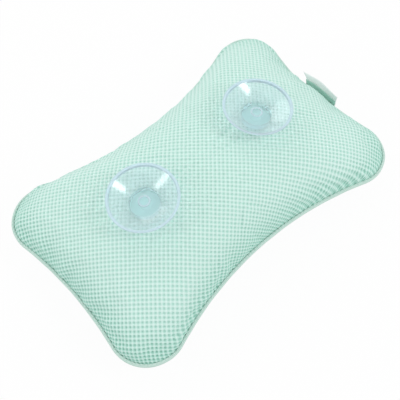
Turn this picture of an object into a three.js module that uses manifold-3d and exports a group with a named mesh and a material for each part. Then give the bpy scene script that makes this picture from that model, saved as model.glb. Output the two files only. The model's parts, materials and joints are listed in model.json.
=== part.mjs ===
// Bath pillow: two air-mesh panels sewn together round a filled inner bag, with two suction cups on its back.
// Millimetres, +Z up. The pillow lies on its front with the cups up, as it dries on a shelf, and the origin
// is under its middle, on the face that it rests on. X runs along its length, and the label is at the +X end.

import * as THREE from 'three';
import { mergeVertices } from 'three/addons/utils/BufferGeometryUtils.js';
import Module from 'manifold-3d';

const wasm = await Module();
wasm.setup();

// Outline of the pillow, over its bound edge
const PILLOW_LENGTH = 304; // lobe to lobe
const PILLOW_WIDTH = 195; // lobe to lobe
const LOBE_RADIUS = 33; // of the four corner lobes
const SIDE_DRAW_IN = 21; // of each long side, at its middle
const END_DRAW_IN = 5.5; // of each short end, at its middle

// The two stuffed halves, measured from the seam
const BACK_CROWN = 47; // height of the back
const FRONT_CROWN = 40; // depth of the front, before it is pressed
const REST_FLAT = 4; // how far the front is pressed flat where the pillow lies
const CROWN_FULLNESS = 3; // a higher power keeps the crown level further out
const SIDE_STEEPNESS = 0.57; // a lower power makes the sides rise more steeply from the seam
const LOBE_REACH = 1.9; // a higher power draws the lobes out of the round crown nearer the seam

// Cloth, thread and the slack between the layers
const PANEL_T = 3; // spacer mesh
const FLANGE_T = 0.8; // the mesh again, pressed thin in the seam
const BINDING_T = 0.7;
const BINDING_WIDTH = 2.4; // from the outer edge to the stuffed part
const THREAD_RADIUS = 0.35;
const STITCH_MARGIN = 0.9; // from the binding's inner edge to the stitches
const BINDING_FOLD = 0.3; // how far the binding's fold is rounded off
const LINER_T = 0.8;
const SEAM_GAP = 0.3; // between pieces that are sewn or pressed together
const BAG_SLACK = 0.6; // between the cover, the inner bag and the fill

// Suction cups
const CUP_SPACING = 123; // between the two cups
const CUP_DIAMETER = 60;
const CUP_STAND = 18; // from the cloth to the rim
const RIM_LAND = 2.2; // flat ring that meets the tub
const RIM_T = 0.8;
const DISH_DEPTH = 8.6;
const DISH_BULGE = 0.8; // how far the dish wall swells from a straight cone
const DISH_T = 2; // of the dish where it meets the hub
const HUB_DIAMETER = 25.5;
const RING_DIAMETER = 10.5; // small moulded ring in the middle of the dish
const RING_HEIGHT = 0.9;
const RING_T = 1.2;
const EDGE_ROUND = 1; // on the hub and the head
const NECK_DIAMETER = 9;
const NECK_CLEARANCE = 0.4; // round the neck, in the cloth and the washer
const HEAD_DIAMETER = 17; // the knob inside the cover
const HEAD_T = 4;

// What holds a cup to the cloth
const SEAT_SINK = 1.2; // how far the neck draws the cloth in
const SEAT_MARGIN = 1; // cloth drawn flat beyond the hub and the patch
const PATCH_DIAMETER = 30;
const PATCH_T = 1;
const WASHER_DIAMETER = 22;
const WASHER_T = 1.6;

// Label in the seam of one short end
const LABEL_WIDTH = 40; // along the seam
const LABEL_LENGTH = 12; // from the seam to its free edge
const LABEL_T = 0.9;
const TAPE_LENGTH = 6.5; // of the mint tape sewn over the label's root, up the label
const TAPE_T = 0.7;
const LABEL_ROOT_ANGLE = 90; // degrees above level where it leaves the seam
const LABEL_TIP_ANGLE = 68; // degrees above level at its free edge

// Fineness of the faceted surfaces
const END_STEPS = 3; // half of a short end
const LOBE_STEPS = 6;
const SIDE_STEPS = 3; // half of a long side
const CROWN_STEPS = 7; // rings from the middle of a panel to its seam
const TURN_STEPS = 32; // a suction cup
const SEAT_STEPS = 24; // the seat, hole, patch and washer of a cup
const THREAD_STEPS = 5;
const LABEL_STEPS = 8;
const MERGE_DISTANCE = 1e-4; // between points that count as one

// Heights and insets that follow from the sizes above, with the seam at height 0
const SEAM_HEIGHT = FRONT_CROWN - REST_FLAT;
const SEAM_LEVEL = SEAM_GAP / 2; // of the cloth of either half where the halves meet
const FLANGE_TOP = SEAM_LEVEL + FLANGE_T;
const BINDING_INNER = FLANGE_TOP + SEAM_GAP;
const BINDING_TOP = BINDING_INNER + BINDING_T;
const FLANGE_INSET = BINDING_T + SEAM_GAP;
const PANEL_INSET = BINDING_WIDTH + SEAM_GAP;
const CUP_RADIUS = CUP_DIAMETER / 2;
const HUB_RADIUS = HUB_DIAMETER / 2;
const NECK_RADIUS = NECK_DIAMETER / 2;
const HOLE_RADIUS = NECK_RADIUS + NECK_CLEARANCE;
const HEAD_RADIUS = HEAD_DIAMETER / 2;
const SEAT_RADIUS = Math.max(HUB_DIAMETER, PATCH_DIAMETER, WASHER_DIAMETER) / 2 + SEAT_MARGIN;

// Depths below the cloth at a cup, down the cup's axis
const PATCH_DEPTH = PANEL_T + SEAM_GAP;
const WASHER_DEPTH = PATCH_DEPTH + PATCH_T + SEAM_GAP;
const HEAD_DEPTH = WASHER_DEPTH + WASHER_T + SEAM_GAP;
const HEAD_BOTTOM = HEAD_DEPTH + HEAD_T;

const radians = THREE.MathUtils.degToRad;

// Points along an arc, without its last one
function arc(centreX, centreY, radius, from, to, steps) {
  return Array.from({ length: steps }, (_, i) => {
    const angle = from + ((to - from) * i) / steps;
    return new THREE.Vector2(centreX + radius * Math.cos(angle), centreY + radius * Math.sin(angle));
  });
}

// Radius of the arc that draws a side in between two lobes, from half the distance between the lobes' centres
function drawnInRadius(halfSpan, drawIn) {
  return (halfSpan ** 2 - 2 * LOBE_RADIUS * drawIn + drawIn ** 2) / (2 * drawIn);
}

const LOBE_X = PILLOW_LENGTH / 2 - LOBE_RADIUS;
const LOBE_Y = PILLOW_WIDTH / 2 - LOBE_RADIUS;
const END_RADIUS = drawnInRadius(LOBE_Y, END_DRAW_IN);
const SIDE_RADIUS = drawnInRadius(LOBE_X, SIDE_DRAW_IN);
const WAIST_X = PILLOW_LENGTH / 2 - END_DRAW_IN; // half the length at the middle of the ends
const WAIST_Y = PILLOW_WIDTH / 2 - SIDE_DRAW_IN; // half the width at the middle of the sides
const END_CENTRE = WAIST_X + END_RADIUS;
const SIDE_CENTRE = WAIST_Y + SIDE_RADIUS;

// The pillow's outline, a given distance inside its edge, anticlockwise from the middle of the +X end.
// Each lobe is an arc that runs smoothly into the hollow arcs of the end and the side beside it.
function outline(inset) {
  const endTurn = Math.atan2(LOBE_Y, END_CENTRE - LOBE_X);
  const sideTurn = Math.atan2(LOBE_X, SIDE_CENTRE - LOBE_Y);
  const quarter = [
    ...arc(END_CENTRE, 0, END_RADIUS + inset, Math.PI, Math.PI - endTurn, END_STEPS),
    ...arc(LOBE_X, LOBE_Y, LOBE_RADIUS - inset, -endTurn, Math.PI / 2 + sideTurn, LOBE_STEPS),
    ...arc(0, SIDE_CENTRE, SIDE_RADIUS + inset, sideTurn - Math.PI / 2, -Math.PI / 2, SIDE_STEPS),
  ];
  const sideMiddle = new THREE.Vector2(0, WAIST_Y - inset);
  const half = [...quarter, sideMiddle];
  const otherQuarter = quarter.map((p) => new THREE.Vector2(-p.x, p.y)).reverse();
  const top = [...half, ...otherQuarter];
  const bottom = top.slice(1, -1).map((p) => new THREE.Vector2(p.x, -p.y)).reverse();
  return [...top, ...bottom];
}

// Height of a stuffed half at a share t of the way from its middle to its seam, as a share of its crown
function crownShare(t) {
  return (1 - t ** CROWN_FULLNESS) ** SIDE_STEEPNESS;
}

// Outer face of a stuffed half, as rings from its middle to its seam. Each ring is an oval near the middle and
// takes on the lobes towards the seam. What is higher than `ceiling` is pressed flat.
function faceRings(crown, ceiling) {
  const halfLength = WAIST_X - PANEL_INSET;
  const halfWidth = WAIST_Y - PANEL_INSET;
  const edge = outline(PANEL_INSET);
  const rings = [[new THREE.Vector3(0, 0, Math.min(crown, ceiling))]];
  for (let i = 1; i <= CROWN_STEPS; i += 1) {
    const t = Math.sin((Math.PI / 2) * (i / CROWN_STEPS));
    const height = Math.min(FLANGE_TOP + (crown - FLANGE_TOP) * crownShare(t), ceiling);
    rings.push(
      edge.map((p) => {
        const angle = Math.atan2(p.y / halfWidth, p.x / halfLength);
        const oval = new THREE.Vector2(halfLength * Math.cos(angle), halfWidth * Math.sin(angle));
        const at = oval.lerp(p, t ** LOBE_REACH).multiplyScalar(t);
        return new THREE.Vector3(at.x, at.y, height);
      }),
    );
  }
  return rings;
}

const levelRing = (inset, height) => outline(inset).map((p) => new THREE.Vector3(p.x, p.y, height));
const BACK_FACE = faceRings(BACK_CROWN, BACK_CROWN);
const FRONT_FACE = faceRings(FRONT_CROWN, FRONT_CROWN - REST_FLAT);

// A layer under a face: its rings moved in by a depth, square to the cloth, down to a level ring at the seam
function layerRings(face, depth, level) {
  const last = face.length - 1;
  return face.map((ring, i) => {
    if (i === last) return levelRing(PANEL_INSET + depth, level);
    if (i === 0) return ring.map((p) => new THREE.Vector3(p.x, p.y, p.z - depth));
    return ring.map((p, j) => {
      const before = ring[(j + ring.length - 1) % ring.length];
      const after = ring[(j + 1) % ring.length];
      const along = after.clone().sub(before);
      const outward = face[i + 1][j].clone().sub(face[i - 1][j % face[i - 1].length]);
      return p.clone().addScaledVector(outward.cross(along).normalize(), -depth);
    });
  });
}

const turnedOver = (rings) => rings.map((ring) => ring.map((p) => new THREE.Vector3(p.x, p.y, -p.z))).reverse();

// A closed surface through a row of rings that starts at the top. A ring of one point closes an end, and a
// row that starts again at its end makes a tube. Each four-sided facet is split from its higher ring to its
// lower one the same way round, so that facets of nested layers lie parallel.
function ringSurface(rings, closed = false) {
  const starts = [];
  const positions = [];
  rings.forEach((ring) => {
    starts.push(positions.length / 3);
    ring.forEach((p) => positions.push(p.x, p.y, p.z));
  });
  const index = [];
  const bands = closed ? rings.length : rings.length - 1;
  for (let i = 0; i < bands; i += 1) {
    const next = (i + 1) % rings.length;
    const upper = rings[i].length;
    const lower = rings[next].length;
    for (let j = 0; j < Math.max(upper, lower); j += 1) {
      const a = starts[i] + (j % upper);
      const b = starts[next] + (j % lower);
      const c = starts[next] + ((j + 1) % lower);
      const d = starts[i] + ((j + 1) % upper);
      if (upper === 1) index.push(a, b, c);
      else if (lower === 1) index.push(a, c, d);
      else if (rings[i][0].z >= rings[next][0].z) index.push(a, b, c, a, c, d);
      else index.push(a, b, d, b, c, d);
    }
  }
  const geometry = new THREE.BufferGeometry();
  geometry.setAttribute('position', new THREE.Float32BufferAttribute(positions, 3));
  geometry.setIndex(index);
  return geometry;
}

// A turned piece about the Z axis, from [radius, height] points that end on the axis or close on themselves
function turned(points, steps = SEAT_STEPS) {
  const profile = points.map(([radius, height]) => new THREE.Vector2(radius, height));
  return new THREE.LatheGeometry(profile, steps).rotateX(Math.PI / 2);
}

const disc = (radius, low, high) => turned([[0, low], [radius, low], [radius, high], [0, high]]);

function flatRing(inner, outer, low, high) {
  return turned([[inner, high], [inner, low], [outer, low], [outer, high], [inner, high]]);
}

// Joining and cutting
function solid(geometry) {
  const bare = new THREE.BufferGeometry();
  bare.setAttribute('position', geometry.getAttribute('position').clone());
  bare.setIndex(geometry.getIndex());
  const merged = mergeVertices(bare, MERGE_DISTANCE);
  const corners = merged.getIndex().array;
  const kept = [];
  for (let i = 0; i < corners.length; i += 3) {
    const [a, b, c] = corners.slice(i, i + 3);
    if (a !== b && b !== c && c !== a) kept.push(a, b, c);
  }
  const vertProperties = new Float32Array(merged.getAttribute('position').array);
  return new wasm.Manifold(new wasm.Mesh({ numProp: 3, vertProperties, triVerts: new Uint32Array(kept) }));
}

function surface(manifold) {
  const mesh = manifold.getMesh();
  const geometry = new THREE.BufferGeometry();
  geometry.setAttribute('position', new THREE.Float32BufferAttribute(mesh.vertProperties, 3));
  geometry.setIndex([...mesh.triVerts]);
  return geometry;
}

// Where a cup sits: on the back panel's outer face, square to the slope of the cloth there
function cupPlace(side) {
  const halfLength = WAIST_X - PANEL_INSET;
  const t = CUP_SPACING / 2 / halfLength;
  const rise = BACK_CROWN - FLANGE_TOP;
  const fall = 1 - t ** CROWN_FULLNESS;
  const steepening = SIDE_STEEPNESS * fall ** (SIDE_STEEPNESS - 1);
  const slope = (rise * steepening * CROWN_FULLNESS * t ** (CROWN_FULLNESS - 1)) / halfLength;
  const tilt = side * Math.atan(slope);
  const height = FLANGE_TOP + rise * crownShare(t);
  const place = new THREE.Group();
  place.position.set(
    (side * CUP_SPACING) / 2 - SEAT_SINK * Math.sin(tilt),
    0,
    height - SEAT_SINK * Math.cos(tilt),
  );
  place.rotation.y = tilt;
  place.updateMatrix();
  return place;
}

const cupPlaces = { left: cupPlace(-1), right: cupPlace(1) };
const atCup = (geometry, place) => solid(geometry.applyMatrix4(place.matrix));

// Cloth of one half of the cover: the stuffed shell with its seam flange, in one piece
function coverRings(face) {
  return [
    ...face,
    levelRing(FLANGE_INSET, FLANGE_TOP),
    levelRing(FLANGE_INSET, SEAM_LEVEL),
    ...layerRings(face, PANEL_T, SEAM_LEVEL).reverse(),
  ];
}

// The back panel is drawn flat under each cup's hub, with a hole for its neck
function backPanel() {
  let panel = solid(ringSurface(coverRings(BACK_FACE)));
  const clear = SEAT_SINK + PANEL_T;
  Object.values(cupPlaces).forEach((place) => {
    panel = panel
      .add(atCup(disc(SEAT_RADIUS, -PANEL_T, 0), place))
      .subtract(atCup(disc(SEAT_RADIUS, 0, clear), place))
      .subtract(atCup(disc(HOLE_RADIUS, -PANEL_T - clear, clear), place));
  });
  return surface(panel);
}

const frontPanel = () => ringSurface(turnedOver(coverRings(FRONT_FACE)));

// Tape folded over the raw edges of both panels
function edgeBinding() {
  const section = [
    [BINDING_WIDTH, BINDING_TOP],
    [FLANGE_INSET, BINDING_TOP],
    [BINDING_FOLD, BINDING_INNER],
    [0, FLANGE_T / 2],
    [0, -FLANGE_T / 2],
    [BINDING_FOLD, -BINDING_INNER],
    [FLANGE_INSET, -BINDING_TOP],
    [BINDING_WIDTH, -BINDING_TOP],
    [BINDING_WIDTH, -BINDING_INNER],
    [BINDING_T, -BINDING_INNER],
    [BINDING_T, BINDING_INNER],
    [BINDING_WIDTH, BINDING_INNER],
  ];
  return ringSurface(section.map(([inset, height]) => levelRing(inset, height)), true);
}

// One thread of the seam's lockstitch, lying on the binding of the back or the front
function seamThread(side) {
  const height = BINDING_TOP + SEAM_GAP + THREAD_RADIUS;
  const section = Array.from({ length: THREAD_STEPS }, (_, i) => {
    const angle = (2 * Math.PI * i) / THREAD_STEPS;
    return levelRing(
      BINDING_WIDTH - STITCH_MARGIN + THREAD_RADIUS * Math.cos(angle),
      side * height + THREAD_RADIUS * Math.sin(angle),
    );
  });
  return ringSurface(section, true);
}

// Hollow that a cup's knob, washer and patch press into the layers under the cover, grown to nest in another
function knobHollow(growth) {
  const patchBottom = PATCH_DEPTH + PATCH_T + BAG_SLACK + growth;
  const knobBottom = HEAD_BOTTOM + BAG_SLACK + growth;
  const mouth = SEAT_RADIUS + BAG_SLACK + growth;
  const floor = Math.max(HEAD_DIAMETER, WASHER_DIAMETER) / 2 + BAG_SLACK + growth;
  return turned([[0, -knobBottom], [floor, -knobBottom], [mouth, -patchBottom], [mouth, PANEL_T], [0, PANEL_T]]);
}

function pressedByKnobs(shape, growth) {
  return Object.values(cupPlaces).reduce((left, place) => left.subtract(atCup(knobHollow(growth), place)), shape);
}

const BAG_DEPTH = PANEL_T + BAG_SLACK;
const BAG_INSIDE = BAG_DEPTH + LINER_T;
const FILL_DEPTH = BAG_INSIDE + BAG_SLACK;

// Back half of the inner bag: a dome with the knobs' hollows, less a smaller dome that is open below
function linerBack() {
  const dome = (depth, level) => {
    return solid(ringSurface([...layerRings(BACK_FACE, depth, level), [new THREE.Vector3(0, 0, level)]]));
  };
  const outside = pressedByKnobs(dome(BAG_DEPTH, SEAM_LEVEL), 0);
  const inside = pressedByKnobs(dome(BAG_INSIDE, SEAM_LEVEL - LINER_T), LINER_T);
  return surface(outside.subtract(inside));
}

function linerFront() {
  const outside = layerRings(FRONT_FACE, BAG_DEPTH, SEAM_LEVEL);
  const inside = layerRings(FRONT_FACE, BAG_INSIDE, SEAM_LEVEL);
  return ringSurface(turnedOver([...outside, ...inside.reverse()]));
}

function fibreFill() {
  const back = layerRings(BACK_FACE, FILL_DEPTH, 0);
  const front = layerRings(FRONT_FACE, FILL_DEPTH, 0);
  const whole = solid(ringSurface([...back, ...turnedOver(front).slice(1)]));
  return surface(pressedByKnobs(whole, LINER_T + BAG_SLACK));
}

// One suction cup, moulded in one piece: knob, neck, hub and dish, with the cloth at height 0
function suctionCup() {
  const floor = CUP_STAND - DISH_DEPTH;
  const landRadius = CUP_RADIUS - RIM_LAND;
  const ringOuter = RING_DIAMETER / 2;
  const ringInner = ringOuter - RING_T;
  const wallMiddle = (HUB_RADIUS + landRadius) / 2;
  const wallHeight = floor + DISH_DEPTH / 2 - DISH_BULGE;
  const outerMiddle = (HUB_RADIUS + CUP_RADIUS) / 2;
  const profile = [
    [0, -HEAD_BOTTOM],
    [HEAD_RADIUS - EDGE_ROUND, -HEAD_BOTTOM],
    [HEAD_RADIUS, -HEAD_BOTTOM + EDGE_ROUND],
    [HEAD_RADIUS, -HEAD_DEPTH],
    [NECK_RADIUS, -HEAD_DEPTH],
    [NECK_RADIUS, SEAM_GAP],
    [HUB_RADIUS - EDGE_ROUND, SEAM_GAP],
    [HUB_RADIUS, SEAM_GAP + EDGE_ROUND],
    [HUB_RADIUS, floor - DISH_T],
    [outerMiddle, (floor - DISH_T + CUP_STAND - RIM_T) / 2 - DISH_BULGE],
    [CUP_RADIUS, CUP_STAND - RIM_T],
    [CUP_RADIUS, CUP_STAND],
    [landRadius, CUP_STAND],
    [wallMiddle, wallHeight],
    [HUB_RADIUS, floor],
    [ringOuter, floor],
    [ringOuter, floor + RING_HEIGHT],
    [ringInner, floor + RING_HEIGHT],
    [ringInner, floor],
    [0, floor],
  ];
  return turned(profile, TURN_STEPS);
}

// Strip of the label, which bends outwards from the seam with its long side along the short end. The label's
// root is the origin, and `rise` is from the label's middle to the strip's lower face, towards the pillow.
function labelStrip(length, thickness, rise) {
  const bend = radians(LABEL_ROOT_ANGLE - LABEL_TIP_ANGLE);
  const radius = LABEL_LENGTH / bend;
  const root = radians(LABEL_ROOT_ANGLE);
  const centreX = radius * Math.sin(root);
  const centreZ = -radius * Math.cos(root);
  const from = Math.PI / 2 + root;
  const to = from - length / radius;
  const strip = new THREE.Shape();
  strip.absarc(centreX, centreZ, radius + rise + thickness, from, to, true);
  strip.absarc(centreX, centreZ, radius + rise, to, from, false);
  const extrusion = { depth: LABEL_WIDTH, bevelEnabled: false, curveSegments: LABEL_STEPS };
  return new THREE.ExtrudeGeometry(strip, extrusion).rotateX(Math.PI / 2).translate(0, LABEL_WIDTH / 2, 0);
}

const sideLabel = () => labelStrip(LABEL_LENGTH, LABEL_T, -LABEL_T / 2);
const labelTape = () => labelStrip(TAPE_LENGTH, TAPE_T, LABEL_T / 2 + SEAM_GAP);

// The edge of the +X end is hollow, so a straight label and its tape clear it at the label's own ends
function labelRoot() {
  const edge = END_CENTRE - Math.sqrt(END_RADIUS ** 2 - (LABEL_WIDTH / 2) ** 2);
  return edge + SEAM_GAP + TAPE_T + SEAM_GAP + LABEL_T / 2;
}

// Materials
const finish = (color, roughness) => new THREE.MeshStandardMaterial({ color, roughness, metalness: 0 });
const mesh = finish(0xc5e9dd, 0.85);
const tape = finish(0xd6ece4, 0.8);
const thread = finish(0xcfe8de, 0.7);
const bagCloth = finish(0xf1f4f1, 0.9);
const fibre = finish(0xf7f7f4, 0.95);
const clearPvc = finish(0xc4e3ea, 0.12);
const washerPlastic = finish(0xe8efee, 0.4);
const satin = finish(0xf2f4f3, 0.55);

// Assembly
const pillow = new THREE.Group();
pillow.position.z = SEAM_HEIGHT;

function piece(name, geometry, material, parent = pillow) {
  const node = new THREE.Mesh(geometry, material);
  node.name = name;
  parent.add(node);
  return node;
}

piece('back_panel', backPanel(), mesh);
piece('front_panel', frontPanel(), mesh);
piece('edge_binding', edgeBinding(), tape);
piece('seam_thread_back', seamThread(1), thread);
piece('seam_thread_front', seamThread(-1), thread);
piece('liner_back', linerBack(), bagCloth);
piece('liner_front', linerFront(), bagCloth);
piece('fibre_fill', fibreFill(), fibre);

Object.entries(cupPlaces).forEach(([side, place]) => {
  pillow.add(place);
  const patch = flatRing(HOLE_RADIUS, PATCH_DIAMETER / 2, -PATCH_DEPTH - PATCH_T, -PATCH_DEPTH);
  const washer = flatRing(HOLE_RADIUS, WASHER_DIAMETER / 2, -WASHER_DEPTH - WASHER_T, -WASHER_DEPTH);
  piece(`suction_cup_${side}`, suctionCup(), clearPvc, place);
  piece(`cup_patch_${side}`, patch, mesh, place);
  piece(`cup_washer_${side}`, washer, washerPlastic, place);
});

const label = new THREE.Group();
label.position.x = labelRoot();
pillow.add(label);
piece('side_label', sideLabel(), satin, label);
piece('label_tape', labelTape(), tape, label);

export default pillow;
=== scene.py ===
# %% [markdown]
# # A bath pillow of air mesh
# This lesson dresses a packed bath pillow: a dog-bone cushion of mint spacer mesh that lies on its front,
# with two clear suction cups on its back and a small white label in one end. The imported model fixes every
# place and size, and each step below puts a finished surface where the model has a plain solid.

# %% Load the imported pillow
import json
import math

import bpy
import numpy as np
from mathutils import Matrix, Vector


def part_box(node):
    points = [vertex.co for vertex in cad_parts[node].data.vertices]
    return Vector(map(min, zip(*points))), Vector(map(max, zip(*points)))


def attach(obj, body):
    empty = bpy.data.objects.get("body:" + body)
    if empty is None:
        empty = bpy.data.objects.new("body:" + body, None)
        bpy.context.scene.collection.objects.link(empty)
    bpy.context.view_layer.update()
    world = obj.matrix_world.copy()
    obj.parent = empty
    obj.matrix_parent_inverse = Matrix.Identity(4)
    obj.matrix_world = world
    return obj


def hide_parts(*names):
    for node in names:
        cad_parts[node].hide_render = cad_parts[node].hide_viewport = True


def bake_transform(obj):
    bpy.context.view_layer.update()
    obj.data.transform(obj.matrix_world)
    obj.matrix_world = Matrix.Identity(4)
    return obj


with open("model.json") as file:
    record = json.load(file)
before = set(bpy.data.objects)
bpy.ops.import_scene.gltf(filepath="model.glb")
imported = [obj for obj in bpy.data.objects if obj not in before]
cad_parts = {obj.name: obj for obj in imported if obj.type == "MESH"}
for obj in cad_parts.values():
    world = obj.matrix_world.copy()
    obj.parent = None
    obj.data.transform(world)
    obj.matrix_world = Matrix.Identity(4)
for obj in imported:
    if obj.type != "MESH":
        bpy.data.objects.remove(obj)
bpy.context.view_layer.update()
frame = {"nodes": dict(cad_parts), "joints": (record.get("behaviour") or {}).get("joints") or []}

MM = 0.001
print("nodes:", sorted(frame["nodes"]))

# %% [markdown]
# ## Camera
# The photograph looks down on the pillow's back from over one long side. Its camera was found by fitting
# the pillow's outline and the rims of the two cups, so it is written here as a direction, a distance and
# a focal length. The aim is the middle of the seam. A small shift of the lens puts that point where the
# photograph has it, because turning the camera instead would change how the far end narrows.

# %% Camera at the photograph's viewing angle
VIEW_AZIMUTH = math.radians(-41.934)
VIEW_ELEVATION = math.radians(62.035)
VIEW_ROLL = math.radians(-0.54)
VIEW_DISTANCE = 659.97 * MM
IMAGE_SIZE = 400  # pixels
FOCAL_LENGTH = 747.5  # pixels
AIM_PIXEL = (202.456, 185.804)  # where the middle of the seam is in the photograph

seam_low, seam_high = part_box("edge_binding")
SEAM_HEIGHT = (seam_low.z + seam_high.z) / 2


def photo_camera():
    """A camera on a sphere round the seam's middle: its back axis from two angles, and a roll about it."""
    flat = math.cos(VIEW_ELEVATION)
    back = Vector((math.sin(VIEW_AZIMUTH) * flat, -math.cos(VIEW_AZIMUTH) * flat, math.sin(VIEW_ELEVATION)))
    right = Vector((math.cos(VIEW_AZIMUTH), math.sin(VIEW_AZIMUTH), 0))
    turn = Matrix.Rotation(VIEW_ROLL, 3, back)
    right = turn @ right
    up = back.cross(right)
    data = bpy.data.cameras.new("photo_camera")
    data.lens = data.sensor_width * FOCAL_LENGTH / IMAGE_SIZE
    data.shift_x = (IMAGE_SIZE / 2 - AIM_PIXEL[0]) / IMAGE_SIZE
    data.shift_y = (AIM_PIXEL[1] - IMAGE_SIZE / 2) / IMAGE_SIZE
    camera = bpy.data.objects.new("photo_camera", data)
    camera.matrix_world = Matrix((right, up, back)).transposed().to_4x4()
    camera.location = Vector((0, 0, SEAM_HEIGHT)) + back * VIEW_DISTANCE
    bpy.context.scene.collection.objects.link(camera)
    bpy.context.scene.camera = camera
    return camera


camera = photo_camera()
print(f"camera: lens {camera.data.lens:.1f} mm, {VIEW_DISTANCE:.3f} m from the seam's middle")

# %% [markdown]
# ## Putting arrays into meshes
# Every new surface below is worked out as whole numpy arrays. One helper puts the points and the faces
# of four or three sides into a mesh, and a second one lists the faces of a grid, which most of the pieces
# are.

# %% Mesh helpers


def grid_quads(rows, columns, wrap_rows=False, wrap_columns=False):
    """Faces of a grid of points numbered row by row: each joins a point and its next ones both ways."""
    row = np.arange(rows if wrap_rows else rows - 1)[:, None]
    column = np.arange(columns if wrap_columns else columns - 1)[None, :]
    next_row, next_column = (row + 1) % rows, (column + 1) % columns
    corners = (row * columns + column, next_row * columns + column,
               next_row * columns + next_column, row * columns + next_column)
    return np.stack(corners, axis=-1).reshape(-1, 4)


def new_piece(name, points, quads, triangles=(), attributes=None, uv=None, finishes=None):
    """A smooth-shaded object from arrays, with optional float attributes and one UV pair for each point,
    and the number of the finish of each face."""
    points = np.asarray(points, np.float32).reshape(-1, 3)
    quads = np.asarray(quads, np.int32).reshape(-1, 4)
    triangles = np.asarray(triangles, np.int32).reshape(-1, 3)
    loops = np.concatenate([quads.ravel(), triangles.ravel()])
    totals = np.concatenate([np.full(len(quads), 4), np.full(len(triangles), 3)])
    starts = np.concatenate([[0], np.cumsum(totals)[:-1]])
    mesh = bpy.data.meshes.new(name)
    mesh.vertices.add(len(points))
    mesh.vertices.foreach_set("co", points.ravel())
    mesh.loops.add(len(loops))
    mesh.loops.foreach_set("vertex_index", loops.astype(np.int32))
    mesh.polygons.add(len(totals))
    mesh.polygons.foreach_set("loop_start", starts.astype(np.int32))
    for key, values in (attributes or {}).items():
        layer = mesh.attributes.new(key, "FLOAT", "POINT")
        layer.data.foreach_set("value", np.ravel(values).astype(np.float32))
    if finishes is not None:
        mesh.polygons.foreach_set("material_index", np.asarray(finishes, np.int32))
    if uv is not None:
        layer = mesh.uv_layers.new(name="UVMap")
        layer.data.foreach_set("uv", np.asarray(uv, np.float32).reshape(-1, 2)[loops].ravel())
    mesh.update(calc_edges=True)
    mesh.validate()
    mesh.shade_smooth()
    piece = bpy.data.objects.new(name, mesh)
    bpy.context.scene.collection.objects.link(piece)
    return piece


def report_piece(piece):
    """Prints how large a piece's mesh is."""
    triangles = sum(len(face.vertices) - 2 for face in piece.data.polygons)
    print(f"{piece.name}: {len(piece.data.vertices)} points, {triangles} triangles")


print("faces of a grid of 3 by 4 points:", len(grid_quads(3, 4)))

# %% [markdown]
# ## The outline
# Seen from above, the pillow is a dog bone: four round lobes joined by sides that are drawn in. Each lobe
# is an arc, and each side is a hollow arc that runs smoothly into the lobes beside it. A sewn and stuffed
# edge is never quite even: one lobe stands out a little and the edge beside it is drawn in. The points
# are then spaced evenly by length, so that stitches and tape can be counted out along the edge.

# %% Arcs of the outline
PILLOW_LENGTH = 304 * MM
PILLOW_WIDTH = 195 * MM
LOBE_RADIUS = 33 * MM
SIDE_DRAW_IN = 21 * MM
END_DRAW_IN = 5.5 * MM
ARC_STEPS = 96
UNEVEN_EDGE = ((32, 5, 2.5 * MM), (12.5, 5, -2.2 * MM))  # direction and spread in degrees, and metres out

LOBE_X = PILLOW_LENGTH / 2 - LOBE_RADIUS
LOBE_Y = PILLOW_WIDTH / 2 - LOBE_RADIUS
WAIST_X = PILLOW_LENGTH / 2 - END_DRAW_IN
WAIST_Y = PILLOW_WIDTH / 2 - SIDE_DRAW_IN


def drawn_in_radius(half_span, draw_in):
    """Radius of the hollow arc between two lobes: it touches both and is draw_in deep at its middle."""
    return (half_span**2 - 2 * LOBE_RADIUS * draw_in + draw_in**2) / (2 * draw_in)


def arc(centre, radius, start, stop):
    """Points at even angles along a circle."""
    angle = np.linspace(start, stop, ARC_STEPS, endpoint=False)
    return np.stack([centre[0] + radius * np.cos(angle), centre[1] + radius * np.sin(angle)], axis=-1)


def uneven(points):
    """Points moved along their direction from the middle, by a sum of bell curves of that direction."""
    direction = np.degrees(np.arctan2(points[:, 1], points[:, 0]))
    move = sum(size * np.exp(-((direction - at) / spread) ** 2 / 2) for at, spread, size in UNEVEN_EDGE)
    return points * (1 + move / np.hypot(points[:, 0], points[:, 1]))[:, None]


print(f"hollow long sides: {drawn_in_radius(LOBE_X, SIDE_DRAW_IN):.3f} m in radius")

# %% Outline of the pillow
MEASURE_COUNT = 2048  # points that measure the outline's length
TINY = 1e-15  # keeps a length of nothing from dividing by zero


def outline(inset, count):
    """Even points inset from the edge, anticlockwise from the +X end: a quarter of three arcs, mirrored."""
    end_radius = drawn_in_radius(LOBE_Y, END_DRAW_IN)
    side_radius = drawn_in_radius(LOBE_X, SIDE_DRAW_IN)
    end_centre = (WAIST_X + end_radius, 0)
    side_centre = (0, WAIST_Y + side_radius)
    end_turn = math.atan2(LOBE_Y, end_centre[0] - LOBE_X)
    side_turn = math.atan2(LOBE_X, side_centre[1] - LOBE_Y)
    quarter = np.vstack([
        arc(end_centre, end_radius + inset, math.pi, math.pi - end_turn),
        arc((LOBE_X, LOBE_Y), LOBE_RADIUS - inset, -end_turn, math.pi / 2 + side_turn),
        arc(side_centre, side_radius + inset, side_turn - math.pi / 2, -math.pi / 2),
        [[0, WAIST_Y - inset]],
    ])
    half = np.vstack([quarter, quarter[-2::-1] * (-1, 1)])
    whole = uneven(np.vstack([half, half[-2::-1] * (1, -1)]))
    along = np.concatenate([[0], np.cumsum(np.linalg.norm(np.diff(whole, axis=0), axis=1))])
    at = np.linspace(0, along[-1], count, endpoint=False)
    return np.stack([np.interp(at, along, whole[:, axis]) for axis in (0, 1)], axis=-1)


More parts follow.
